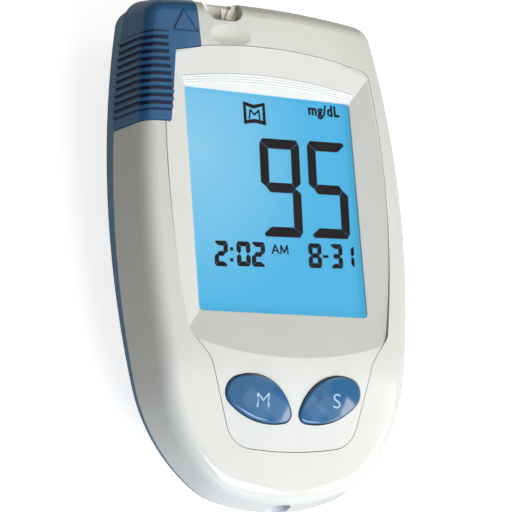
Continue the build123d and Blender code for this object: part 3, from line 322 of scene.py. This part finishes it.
def plated_metal(name, colour, roughness, brush_mm=0.25, brush_height_mm=0.002):
    """Plated or drawn metal with a fine brush that runs lengthways."""
    # a real brush line is some hundredths of a millimetre wide; it is drawn as coarse as it needs to show
    material, tree = new_material(name)
    place = add_node(tree, "ShaderNodeTexCoord").outputs["Object"]
    lengthways = add_node(tree, "ShaderNodeMapping", {"Scale": (1, 0.1, 1)}, {"Vector": place})
    brush = add_node(tree, "ShaderNodeTexNoise", {"Scale": 1 / (brush_mm * MM), "Detail": 2.0},
                     {"Vector": lengthways.outputs[0]})
    rough = add_node(tree, "ShaderNodeMapRange",
                     {"To Min": roughness * (1 - METAL_SPREAD), "To Max": roughness * (1 + METAL_SPREAD)},
                     {"Value": brush.outputs["Fac"]})
    bump = add_node(tree, "ShaderNodeBump", {"Strength": 1.0, "Distance": brush_height_mm * MM},
                    {"Height": brush.outputs["Fac"]})
    shader = add_node(tree, "ShaderNodeBsdfPrincipled", {"Base Color": linear(colour), "Metallic": 1.0},
                      {"Roughness": rough.outputs[0], "Normal": bump.outputs[0]})
    add_node(tree, "ShaderNodeOutputMaterial", links={"Surface": shader.outputs[0]})
    return material


def clear_pane(name):
    """Polished clear acrylic: a thin flat pane that mirrors very little and lets the lamps through."""
    material, tree = new_material(name)
    # the low IOR keeps the room's image weak, as an anti-glare coat does
    mirror = add_node(tree, "ShaderNodeBsdfPrincipled",
                      {"Base Color": linear("#FFFFFF"), "Transmission Weight": 1.0, "Roughness": 0.02,
                       "IOR": 1.06})
    straight = add_node(tree, "ShaderNodeBsdfTransparent", {"Color": linear("#FBFDFD")})
    path = add_node(tree, "ShaderNodeLightPath")
    unseen = add_node(tree, "ShaderNodeMath",
                      links={0: path.outputs["Is Shadow Ray"], 1: path.outputs["Is Diffuse Ray"]},
                      operation="MAXIMUM")
    pane = add_node(tree, "ShaderNodeMixShader",
                    links={0: unseen.outputs[0], 1: mirror.outputs[0], 2: straight.outputs[0]})
    add_node(tree, "ShaderNodeOutputMaterial", links={"Surface": pane.outputs[0]})
    return material


def lit_display(name):
    """Backlit liquid-crystal glass: it glows sky blue, with a painted sheen that makes it paler towards the
    upper left.
    """
    material, tree = new_material(name)
    place = add_node(tree, "ShaderNodeTexCoord").outputs["Object"]
    shift = [-centre / reach for centre, reach in zip(SHEEN_CENTRE, SHEEN_REACH)]
    shrink = [1 / (reach * MM) for reach in SHEEN_REACH]
    centred = add_node(tree, "ShaderNodeMapping", {"Location": (*shift, 0), "Scale": (*shrink, 0)},
                       {"Vector": place})
    # painted sheen, palest at its centre and fading outwards
    glow = add_node(tree, "ShaderNodeTexGradient", links={"Vector": centred.outputs[0]},
                    gradient_type="SPHERICAL")
    tint = add_node(tree, "ShaderNodeMix", {COLOUR_A: linear("#52B9E8"), COLOUR_B: linear("#8ED0F0")},
                    {"Factor": glow.outputs["Fac"]}, data_type="RGBA")
    # most of its colour is its own light, and little of the room's light comes back
    dim = add_node(tree, "ShaderNodeMix", {COLOUR_A: linear("#000000"), "Factor": 0.18},
                   {COLOUR_B: tint.outputs[MIXED_COLOUR]}, data_type="RGBA")
    shader = add_node(tree, "ShaderNodeBsdfPrincipled",
                      {"Roughness": 0.45, "Specular IOR Level": 0.1, "Emission Strength": 0.77},
                      {"Base Color": dim.outputs[MIXED_COLOUR],
                       "Emission Color": tint.outputs[MIXED_COLOUR]})
    add_node(tree, "ShaderNodeOutputMaterial", links={"Surface": shader.outputs[0]})
    return material


def flat_ink(name, colour, roughness, shine):
    """A thin even film, too fine to show a grain of its own."""
    material, tree = new_material(name)
    shader = add_node(tree, "ShaderNodeBsdfPrincipled",
                      {"Base Color": linear(colour), "Roughness": roughness, "Specular IOR Level": shine})
    add_node(tree, "ShaderNodeOutputMaterial", links={"Surface": shader.outputs[0]})
    return material


finishes = {
    # polished white housing: an even warm white that mirrors soft boxes faintly, with a slow waviness
    "body_white": moulded_plastic("moulded white ABS, polished", "#DEDCD1", 0.14,
                                  grain_mm=2.5, grain_height_mm=0.0015),
    # face plate: the same white with a broader, softer shine
    "plate_white": moulded_plastic("moulded white ABS, satin", "#DEDDD4", 0.22,
                                   grain_mm=1.2, grain_height_mm=0.002),
    # fine ridges: a painted lit tone makes them brighter than the plate, and each crest is a thin line of
    # light
    "ridge_white": moulded_plastic("moulded white ABS, mirror-polished", "#EDEDE8", 0.10, coat=0.5,
                                   grain_mm=3.0, grain_height_mm=0.0005),
    # back half: slate blue-grey, no mirror image, a fine sparkle of the eroded grain
    "back_grey": moulded_plastic("moulded grey ABS, spark-eroded", "#5F8BA8", 0.32,
                                 grain_mm=0.35, grain_height_mm=0.01),
    # window: nearly unseen, only the brightest lamps leave a faint reflection
    "window_clear": clear_pane("moulded clear acrylic, polished"),
    # display glass: glowing sky blue, with a painted sheen paler at the upper left
    "lcd_blue": lit_display("backlit liquid-crystal glass"),
    # light panel behind the display: milky, without a shine
    "diffuser": moulded_plastic("moulded opal acrylic, frosted", "#E8EEF2", 0.4),
    # contact strip: dusty pink, quite dull
    "elastomer": moulded_plastic("moulded pink contact rubber", "#C08090", 0.7),
    # holder of the display: plain white, half dull
    "frame_white": moulded_plastic("moulded white nylon", "#DDDDDD", 0.5),
    # keys: clear mid blue under a wet-looking gloss that shows the lamps sharply
    "button_blue": moulded_plastic("moulded blue ABS, gloss", "#30648F", 0.12, coat=0.5,
                                   grain_mm=3.0, grain_height_mm=0.001),
    # key domes: pale grey and dull, slightly chalky
    "silicone": moulded_plastic("moulded grey silicone rubber", "#B4B8BC", 0.6),
    # board: deep green lacquer with a soft shine
    "board_green": moulded_plastic("green solder mask lacquer", "#1E5A3C", 0.35),
    # chips: charcoal with hardly any shine
    "chip_black": moulded_plastic("moulded black epoxy", "#17171A", 0.5),
    # screws: bright cool grey with a soft metallic shine
    "screw_steel": plated_metal("zinc-plated steel", "#C8C8C4", 0.3),
    # connector block: plain black, half dull
    "connector_black": moulded_plastic("moulded black nylon", "#1A1A1C", 0.5),
    # contact strips: warm yellow metal with a bright line along each
    "contact_gold": plated_metal("gold-plated bronze", "#D9B25A", 0.22),
    # strip guide and flap: milky warm white with a waxy shine
    "guide_clear": moulded_plastic("moulded natural polypropylene", "#F4F3E8", 0.22, coat=0.3),
    # slider: navy gloss, with painted shade nearly black in its finger grooves
    "slider_blue": ribbed_plastic("moulded navy ABS, gloss", "#326692", "#070B3A", 0.14),
    # ejector arm: black, slippery-looking, half dull
    "arm_black": moulded_plastic("moulded black acetal", "#1C1C20", 0.4),
    # cells: charcoal printed film, glossy
    "cell_wrap": moulded_plastic("printed PVC sleeve", "#26282C", 0.25, coat=0.4),
    # springs: bright silvery wire
    "spring_steel": plated_metal("nickel-plated spring wire", "#D2D0CC", 0.2),
    # battery contacts: silvery sheet, brushed
    "contact_nickel": plated_metal("nickel-plated steel strip", "#CFCDC6", 0.28),
    # speaker: dark grey metal with a dim shine
    "speaker_metal": plated_metal("blackened steel sheet", "#56565A", 0.4),
    # jack: black, half dull
    "jack_black": moulded_plastic("moulded black PBT", "#141416", 0.4),
    # collar in the jack hole: pale cool grey, dull
    "collar_pale": moulded_plastic("moulded pale grey nylon", "#F2F4F4", 0.5),
    # driven segments: nearly black and without a shine, because they lie inside the display glass
    "segment_dark": flat_ink("driven liquid crystal", "#1C171A", 0.5, 0.05),
    # letters on the keys: a thin pale matt film over the gloss
    "print_pale": flat_ink("pad-printed pale ink", "#AAC4D4", 0.45, 0.5),
}

slot_of = {part["node"]: part["material_slot"] for part in frame["record"]["subparts"]}
for name, obj in nodes.items():
    for slot in obj.material_slots:
        slot.material = finishes[slot_of[name]]

# ---- Display contents -----------------------------------------------------------------
INK_LIFT, INK_THICKNESS = 0.02, 0.01
SLANT, RISE = 0.036, 0.026  # sideways per height, and upwards per width
TWO_DIGIT_PITCH = 3.2
SEGMENTS = {"0": "abcdef", "1": "bc", "2": "abged", "3": "abgcd", "5": "afgcd", "8": "abcdefg",
            "9": "abcdfg"}
# corners of the segments, as shares of a post's width, and as a share of a bar's thickness
CHAMFER, POST_CHAMFER, BEVEL_ACROSS, TIP, BEVEL_UP = 0.32, 0.512, 0.15, 0.62, 0.3
SECOND_CORNER = 0.02
# text, lower left corner, width and height of a digit, thickness of bars and of posts, gap between segments
DIGITS = (
    # reading
    ("9", (-2.75, 2.45), (8.85, 19.2), 1.95, 1.92, 0.07),
    ("5", (7.9, 2.85), (8.85, 19.2), 1.95, 1.92, 0.07),
    # clock
    ("2", (-13.6, -3.85), (2.9, 4.85), 0.95, 0.95, 0.05),
    ("02", (-8.85, -3.6), (2.95, 4.75), 0.95, 0.95, 0.05),
    # date
    ("8", (6.85, -3.05), (2.95, 4.8), 0.95, 0.95, 0.05),
    ("3", (11.75, -2.9), (2.8, 4.8), 0.95, 0.95, 0.05),
    ("1", (14.55, -2.75), (2.65, 4.7), 0.85, 0.75, 0.05),
)
COLON_DOTS, DOT_HALF_WIDTH = ((-9.8, -0.43), (-9.92, -2.48)), 0.33
DATE_DASH = [(10.1, -0.92), (11.4, -0.88), (11.4, -0.36), (10.1, -0.40)]
# memory sign: a framed letter whose frame dips in the middle, above and below
FRAME_OUTSIDE = [(-5.03, 28.62), (-2.66, 28.1), (-0.2, 28.76), (-0.22, 24.24), (-2.68, 24.55), (-5.06, 24.1)]
FRAME_INSIDE = [(-4.42, 27.75), (-2.7, 27.3), (-0.82, 28.0), (-0.88, 25.1), (-2.72, 25.35), (-4.44, 24.95)]
# letters drawn with strokes: the points of a broken line, and the stroke's width
STROKES = (
    # the letter in the memory sign
    ([(-3.86, 25.28), (-3.52, 27.05), (-2.66, 26.15), (-1.66, 27.1), (-1.56, 25.32)], 0.36),
    # the two letters after the clock
    ([(-1.02, -0.72), (-0.32, 0.92), (0.42, -0.68)], 0.33),
    ([(-0.78, -0.18), (0.18, -0.15)], 0.29),
    ([(0.86, -0.66), (0.98, 0.90), (1.62, -0.42), (2.30, 0.95), (2.42, -0.62)], 0.33),
)
STROKE_OVERLAP = 0.3  # past the corners, as a share of the stroke's width


def segment_outlines(corner, size, bar, post, gap, lit):
    """Outlines of the lit segments of one upright seven-segment digit."""
    left, bottom = corner
    right, top, middle = left + size[0], bottom + size[1], bottom + size[1] / 2
    slit = gap / 2
    chamfer, across, up, tip = CHAMFER * post, BEVEL_ACROSS * post, BEVEL_UP * bar, TIP * post
    outlines = {
        # the top bar has a second small corner at its inner right
        "a": [(left + chamfer + slit, top), (right - chamfer - slit, top), (right - slit - across, top - up),
              (right - post + slit - SECOND_CORNER, top - bar + SECOND_CORNER),
              (right - post - slit, top - bar), (left + post + slit, top - bar),
              (left + slit + across, top - up)],
        "d": [(left + chamfer + slit, bottom), (right - chamfer - slit, bottom),
              (right - slit - across, bottom + up), (right - post - slit, bottom + bar),
              (left + post + slit, bottom + bar), (left + slit + across, bottom + up)],
        "g": [(left + tip + slit, middle), (left + post + slit, middle + bar / 2),
              (right - post - slit, middle + bar / 2), (right - tip - slit, middle),
              (right - post - slit, middle - bar / 2), (left + post + slit, middle - bar / 2)],
    }
    # a post stands on one side and reaches from one end of the digit to its middle
    for name, side, inward, end, onward in (("f", left, 1, top, -1), ("e", left, 1, bottom, 1),
                                            ("b", right, -1, top, -1), ("c", right, -1, bottom, 1)):
        outlines[name] = [(side, end + onward * POST_CHAMFER * post),
                          (side + inward * across, end + onward * (up + slit)),
                          (side + inward * post, end + onward * (bar + slit)),
                          (side + inward * post, middle - onward * (bar / 2 + slit)),
                          (side + inward * tip, middle - onward * slit),
                          (side, middle - onward * bar / 2)]
    return [outlines[name] for name in lit]


def digit_outlines(text, corner, size, bar, post, gap):
    """Outlines of a run of digits, which leans a little to the right and rises along its line."""
    outlines = []
    for index, sign in enumerate(text):
        place = (corner[0] + index * TWO_DIGIT_PITCH, corner[1])
        for outline in segment_outlines(place, size, bar, post, gap, SEGMENTS[sign]):
            outlines.append([(x + SLANT * (y - corner[1]), y + RISE * (x - corner[0])) for x, y in outline])
    return outlines


def stroke_outlines(points, width):
    """Quads along a broken line, joined where they meet."""
    quads = []
    for a, b in zip(points, points[1:]):
        along = Vector((b[0] - a[0], b[1] - a[1])).normalized()
        side = Vector((-along.y, along.x)) * width / 2
        start, end = Vector(a) - along * width * STROKE_OVERLAP, Vector(b) + along * width * STROKE_OVERLAP
        quads.append([tuple(start - side), tuple(end - side), tuple(end + side), tuple(start + side)])
    return quads


def plates(outlines, height, thickness):
    """Thin closed plates, one from each outline, that stand on a height."""
    shape = bmesh.new()
    for outline in outlines:
        area = sum(a[0] * b[1] - b[0] * a[1] for a, b in around(outline))
        points = outline if area > 0 else outline[::-1]
        low = [shape.verts.new(Vector((x, y, height)) * MM) for x, y in points]
        high = [shape.verts.new(Vector((x, y, height + thickness)) * MM) for x, y in points]
        shape.faces.new(low[::-1])
        shape.faces.new(high)
        for (a, b), (c, d) in zip(around(low), around(high)):
            shape.faces.new((a, b, d, c))
    bmesh.ops.triangulate(shape, faces=[face for face in shape.faces if len(face.verts) > 4])
    return mesh_of(shape)


def display_outlines():
    """All that the display shows, apart from the unit."""
    outlines = []
    for digits in DIGITS:
        outlines += digit_outlines(*digits)
    for x, y in COLON_DOTS:
        outlines.append([(x + across * DOT_HALF_WIDTH, y + up * DOT_HALF_WIDTH) for across, up in SQUARE])
    outlines.append(DATE_DASH)
    outlines += [[a, b, d, c] for (a, b), (c, d) in zip(around(FRAME_OUTSIDE), around(FRAME_INSIDE))]
    for points, width in STROKES:
        outlines += stroke_outlines(points, width)
    return outlines


ink_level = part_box("lcd_glass")[1][2] / MM + INK_LIFT
add_piece("display_segments", plates(display_outlines(), ink_level, INK_THICKNESS), finishes["segment_dark"],
          "meter")

# ---- Lettering ------------------------------------------------------------------------
LETTER_THICKNESS = 0.02
CAPITAL_SHARE = 0.69  # capital height of the built-in font, as a share of its size
CURVE_STEPS = 4
RAY_START = 100  # above the meter


def lettering(text, height, place, ground, width=1.0, weight=0.0, turn=0.0, spacing=1.0):
    """Letters of a given capital height, centred on a place; ground(x, y) is what they lie on, in metres.

    width stretches them, weight in millimetres makes their strokes bolder, and spacing sets them apart."""
    data = bpy.data.curves.new(text, "FONT")
    data.body = text
    data.align_x, data.align_y = "CENTER", "CENTER"
    scale = height / CAPITAL_SHARE * MM
    data.extrude = LETTER_THICKNESS / 2 * MM / scale
    data.offset = weight * MM / scale
    data.space_character = spacing
    data.resolution_u = CURVE_STEPS
    mesh = evaluated_mesh(bpy.data.objects.new(text, data))
    mesh.transform(Matrix.Scale(scale, 4))
    across = [vertex.co.x for vertex in mesh.vertices]
    along = [vertex.co.y for vertex in mesh.vertices]
    middle = Vector((min(across) + max(across), min(along) + max(along), 0)) / 2
    mesh.transform(Matrix.Translation(Vector((*place, 0)) * MM) @ Matrix.Rotation(radians(turn), 4, "Z")
                   @ Matrix.Diagonal((width, 1, 1, 1)) @ Matrix.Translation(-middle))
    for vertex in mesh.vertices:
        vertex.co.z += ground(vertex.co.x, vertex.co.y) + LETTER_THICKNESS / 2 * MM
    return mesh


def key_top(node):
    """A function that gives the height of a key's upper surface under a point, in metres."""
    surface = surface_of(node)

    def height(x, y):
        return surface.ray_cast(Vector((x, y, RAY_START * MM)), Vector((0, 0, -1)))[0].z

    return height


UNIT_HEIGHT, UNIT_PLACE = 2.0, (13.1, 28.15)
unit = lettering("mg/dL", UNIT_HEIGHT, UNIT_PLACE, lambda x, y: ink_level * MM,
                 width=0.90, weight=0.13, turn=1.146, spacing=1.12)
add_piece("display_unit", unit, finishes["segment_dark"], "meter")

# ---- Fine ridges above the display ----------------------------------------------------
RIDGE_COUNT, RIDGE_HEIGHT = 4, 0.10
RIDGE_LIFT = 0.035  # the valleys stay clear of the plate
BAND_HALF_LENGTH, BAND_TAPER = 19.0, 0.75  # at the outer edge, and the loss down to the opening
BAND_OUTER, BAND_INNER = (31.65, 33.35), (30.18, 31.50)  # y of each edge at the ends and in the middle
BAND_DEPTH = 0.55  # from the plate's surface down to the underside
APRON = 0.25  # a plain strip from the last ridge into the opening, as a share of the band's width
APRON_END = OPENING_TOP + 0.03
END_FADE = 0.02  # share of the half length over which the ridges run out
PLATE_SLOPE = 0.26
BAND_STEPS_ACROSS, BAND_STEPS_ALONG = 60, 160
STEEP = 0.3  # faces whose normal rises less than this are shaded flat


def ridge_band():
    """Moulded fine ridges between two flat arcs, on the slope that falls to the display."""
    rows = []
    for i in range(BAND_STEPS_ALONG + 1):
        share = 2 * i / BAND_STEPS_ALONG - 1
        arc = 1 - share * share
        outer, inner = (ends + (middle - ends) * arc for ends, middle in (BAND_OUTER, BAND_INNER))
        fade = min(1.0, (1 - abs(share)) / END_FADE)
        row = []
        for j in range(BAND_STEPS_ACROSS + 1):
            # the way across the band: 0 at the outer edge, 1 at the last ridge, then the apron
            way = j / BAND_STEPS_ACROSS * (1 + APRON)
            y = outer + (inner - outer) * way if way <= 1 else inner + (APRON_END - inner) * (way - 1) / APRON
            x = share * (BAND_HALF_LENGTH - BAND_TAPER * (outer - y) / (outer - OPENING_TOP))
            plate = OPENING_HEIGHT + PLATE_SLOPE * (y - OPENING_TOP)
            wave = 0.5 - 0.5 * cos(2 * pi * way * RIDGE_COUNT) if way <= 1 else 0
            row.append((x, y, plate, RIDGE_LIFT + RIDGE_HEIGHT * wave * fade))
        rows.append(row)
    shape = bmesh.new()
    top = [[shape.verts.new(Vector((x, y, plate + lift)) * MM) for x, y, plate, lift in row]
           for row in rows]
    low = [[shape.verts.new(Vector((x, y, plate - BAND_DEPTH)) * MM) for x, y, plate, lift in row]
           for row in rows]
    for i in range(BAND_STEPS_ALONG):
        for j in range(BAND_STEPS_ACROSS):
            shape.faces.new((top[i][j], top[i][j + 1], top[i + 1][j + 1], top[i + 1][j]))
            shape.faces.new((low[i][j], low[i + 1][j], low[i + 1][j + 1], low[i][j + 1]))
        for j in (0, BAND_STEPS_ACROSS):
            shape.faces.new((top[i][j], top[i + 1][j], low[i + 1][j], low[i][j]))
    for i in (0, BAND_STEPS_ALONG):
        for j in range(BAND_STEPS_ACROSS):
            shape.faces.new((top[i][j], top[i][j + 1], low[i][j + 1], low[i][j]))
    bmesh.ops.recalc_face_normals(shape, faces=shape.faces)
    for face in shape.faces:
        face.smooth = abs(face.normal.z) > STEEP
    return mesh_of(shape)


add_piece("display_ridges", ridge_band(), finishes["ridge_white"], "meter")

# ---- Letters on the keys --------------------------------------------------------------
KEY_LETTER_HEIGHT, KEY_LETTER_WEIGHT = 2.6, -0.03
for name, letter, place, width, key, body in (
        ("memory_letter", "M", (-7.35, -29.05), 1.12, "memory_button", "memory_key"),
        ("set_letter", "S", (8.5, -28.95), 1.22, "set_button", "set_key")):
    mesh = lettering(letter, KEY_LETTER_HEIGHT, place, key_top(key), width=width, weight=KEY_LETTER_WEIGHT)
    add_piece(name, mesh, finishes["print_pale"], body)

# ---- Port flap and jack collar --------------------------------------------------------
FLAP_TOP, FLAP_THICKNESS = 22.44, 0.35
FLAP_OUTLINE = [(-9.0, 46.1), (-9.0, 44.0), (-6.05, 44.05), (-5.75, 44.6), (-5.62, 45.4), (-5.62, 46.2)]
FLAP_RIB_HEIGHT, FLAP_RIB_ROOT = 0.5, 0.05
FLAP_RIB_OUTLINE = [(-8.5, 44.02), (-8.15, 44.02), (-7.2, 45.95), (-7.55, 45.95)]
add_piece("port_flap", plates([FLAP_OUTLINE], FLAP_TOP - FLAP_THICKNESS, FLAP_THICKNESS),
          finishes["guide_clear"], "meter")
add_piece("port_flap_rib", plates([FLAP_RIB_OUTLINE], FLAP_TOP - FLAP_RIB_ROOT, FLAP_RIB_HEIGHT),
          finishes["guide_clear"], "meter")

JACK_HEIGHT = 14.9
COLLAR_OUTER, COLLAR_INNER = 2.39, 2.26  # radii
COLLAR_BACK = -46.65
COLLAR_SIDES = 48
RIM_SET_BACK, RIM_SLOPE = 0.03, 0.02  # behind the outside of the case, and from the outer to the inner edge
PROBE_MARGIN, PROBE_START = 0.06, -80


def jack_collar():
    """Pale lining of the jack hole, flush with the outside of the case."""
    walls = [surface_of("front_cover"), surface_of("rear_cover")]
    shape = bmesh.new()
    rings = []
    for i in range(COLLAR_SIDES):
        turn = 2 * pi * i / COLLAR_SIDES
        across, up = cos(turn), sin(turn)
        reach = COLLAR_OUTER + PROBE_MARGIN
        probe = Vector((reach * across, PROBE_START, JACK_HEIGHT + reach * up)) * MM
        hits = [wall.ray_cast(probe, Vector((0, 1, 0)))[0] for wall in walls]
        front = min(hit.y / MM for hit in hits if hit) + RIM_SET_BACK
        profile = ((COLLAR_OUTER, front), (COLLAR_INNER, front + RIM_SLOPE),
                   (COLLAR_INNER, COLLAR_BACK), (COLLAR_OUTER, COLLAR_BACK))
        rings.append([shape.verts.new(Vector((radius * across, y, JACK_HEIGHT + radius * up)) * MM)
                      for radius, y in profile])
    for ring, following in around(rings):
        for (a, b), (c, d) in zip(around(ring), around(following)):
            shape.faces.new((a, b, d, c))
    bmesh.ops.recalc_face_normals(shape, faces=shape.faces)
    return mesh_of(shape)


add_piece("jack_collar", jack_collar(), finishes["collar_pale"], "meter")

# ---- Case screws with cross recesses --------------------------------------------------
SCREW_PLACES = [(22.0, 41.2), (-20.3, 41.6), (11.5, -40.6), (-11.5, -40.6)]
SEAM_HEIGHT, SEAM_TILT = 14.7, 1.65  # the seam of the covers at y = 0, and its rise towards the port
SCREW_GRIP, SCREW_BITE = 2.2, 4.0  # of the shank, under the seam and above it
SCREW_SIZES = {"Head radius": 1.95, "Head height": 1.4,
               "Shank radius": 1.1, "Shank length": SCREW_GRIP + SCREW_BITE,
               "Recess width": 0.55, "Recess span": 2.3, "Recess depth": 0.7}
HEAD_SIDES, SHANK_SIDES = 48, 32


def screw_tree():
    """Geometry nodes: a pan head with a cross recess and a plain shank on every point, head down."""
    tree = bpy.data.node_groups.new("cross-recess screws", "GeometryNodeTree")
    tree.interface.new_socket("Points", in_out="INPUT", socket_type="NodeSocketGeometry")
    for name in SCREW_SIZES:
        tree.interface.new_socket(name, in_out="INPUT", socket_type="NodeSocketFloat")
    tree.interface.new_socket("Screws", in_out="OUTPUT", socket_type="NodeSocketGeometry")
    sizes = add_node(tree, "NodeGroupInput").outputs

    def raised(shape, share, size):
        """The shape moved up by a share of one of the sizes."""
        rise = add_node(tree, "ShaderNodeMath", {1: share}, {0: size}, operation="MULTIPLY")
        offset = add_node(tree, "ShaderNodeCombineXYZ", links={"Z": rise.outputs[0]})
        return add_node(tree, "GeometryNodeTransform",
                        links={"Geometry": shape.outputs[0], "Translation": offset.outputs[0]}).outputs[0]

    head = add_node(tree, "GeometryNodeMeshCylinder", {"Vertices": HEAD_SIDES},
                    {"Radius": sizes["Head radius"], "Depth": sizes["Head height"]})
    shank = add_node(tree, "GeometryNodeMeshCylinder", {"Vertices": SHANK_SIDES},
                     {"Radius": sizes["Shank radius"], "Depth": sizes["Shank length"]})
    bars = []
    for span, width in (("X", "Y"), ("Y", "X")):
        extent = add_node(tree, "ShaderNodeCombineXYZ",
                          links={span: sizes["Recess span"], width: sizes["Recess width"],
                                 "Z": sizes["Recess depth"]})
        bar = add_node(tree, "GeometryNodeMeshCube", links={"Size": extent.outputs[0]})
        bars.append(raised(bar, -1.0, sizes["Head height"]))
    cut = add_node(tree, "GeometryNodeMeshBoolean", operation="DIFFERENCE",
                   links={"Mesh 1": raised(head, -0.5, sizes["Head height"]), "Mesh 2": bars})
    screw = add_node(tree, "GeometryNodeJoinGeometry",
                     links={0: [cut.outputs[0], raised(shank, 0.5, sizes["Shank length"])]})
    placed = add_node(tree, "GeometryNodeInstanceOnPoints",
                      links={"Points": sizes["Points"], "Instance": screw.outputs[0]})
    real = add_node(tree, "GeometryNodeRealizeInstances", links={0: placed.outputs[0]})
    finish = add_node(tree, "GeometryNodeSetMaterial", {"Material": finishes["screw_steel"]},
                      {"Geometry": real.outputs[0]})
    add_node(tree, "NodeGroupOutput", links={0: finish.outputs[0]})
    return tree


def case_screws():
    """The four screws that close the case, at the places of the CAD node's solids."""
    grips = [(x, y, SEAM_HEIGHT + y * tan(radians(SEAM_TILT)) - SCREW_GRIP) for x, y in SCREW_PLACES]
    points = bpy.data.meshes.new("screw places")
    points.from_pydata([Vector(grip) * MM for grip in grips], [], [])
    maker = bpy.data.objects.new("screw maker", points)
    tree = screw_tree()
    modifier = maker.modifiers.new("screws", "NODES")
    modifier.node_group = tree
    for item in tree.interface.items_tree:
        if item.name in SCREW_SIZES:
            modifier[item.identifier] = SCREW_SIZES[item.name] * MM
    return evaluated_mesh(maker)


screws = add_piece("cross_recess_screws", case_screws(), finishes["screw_steel"], "meter")
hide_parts("case_screws")
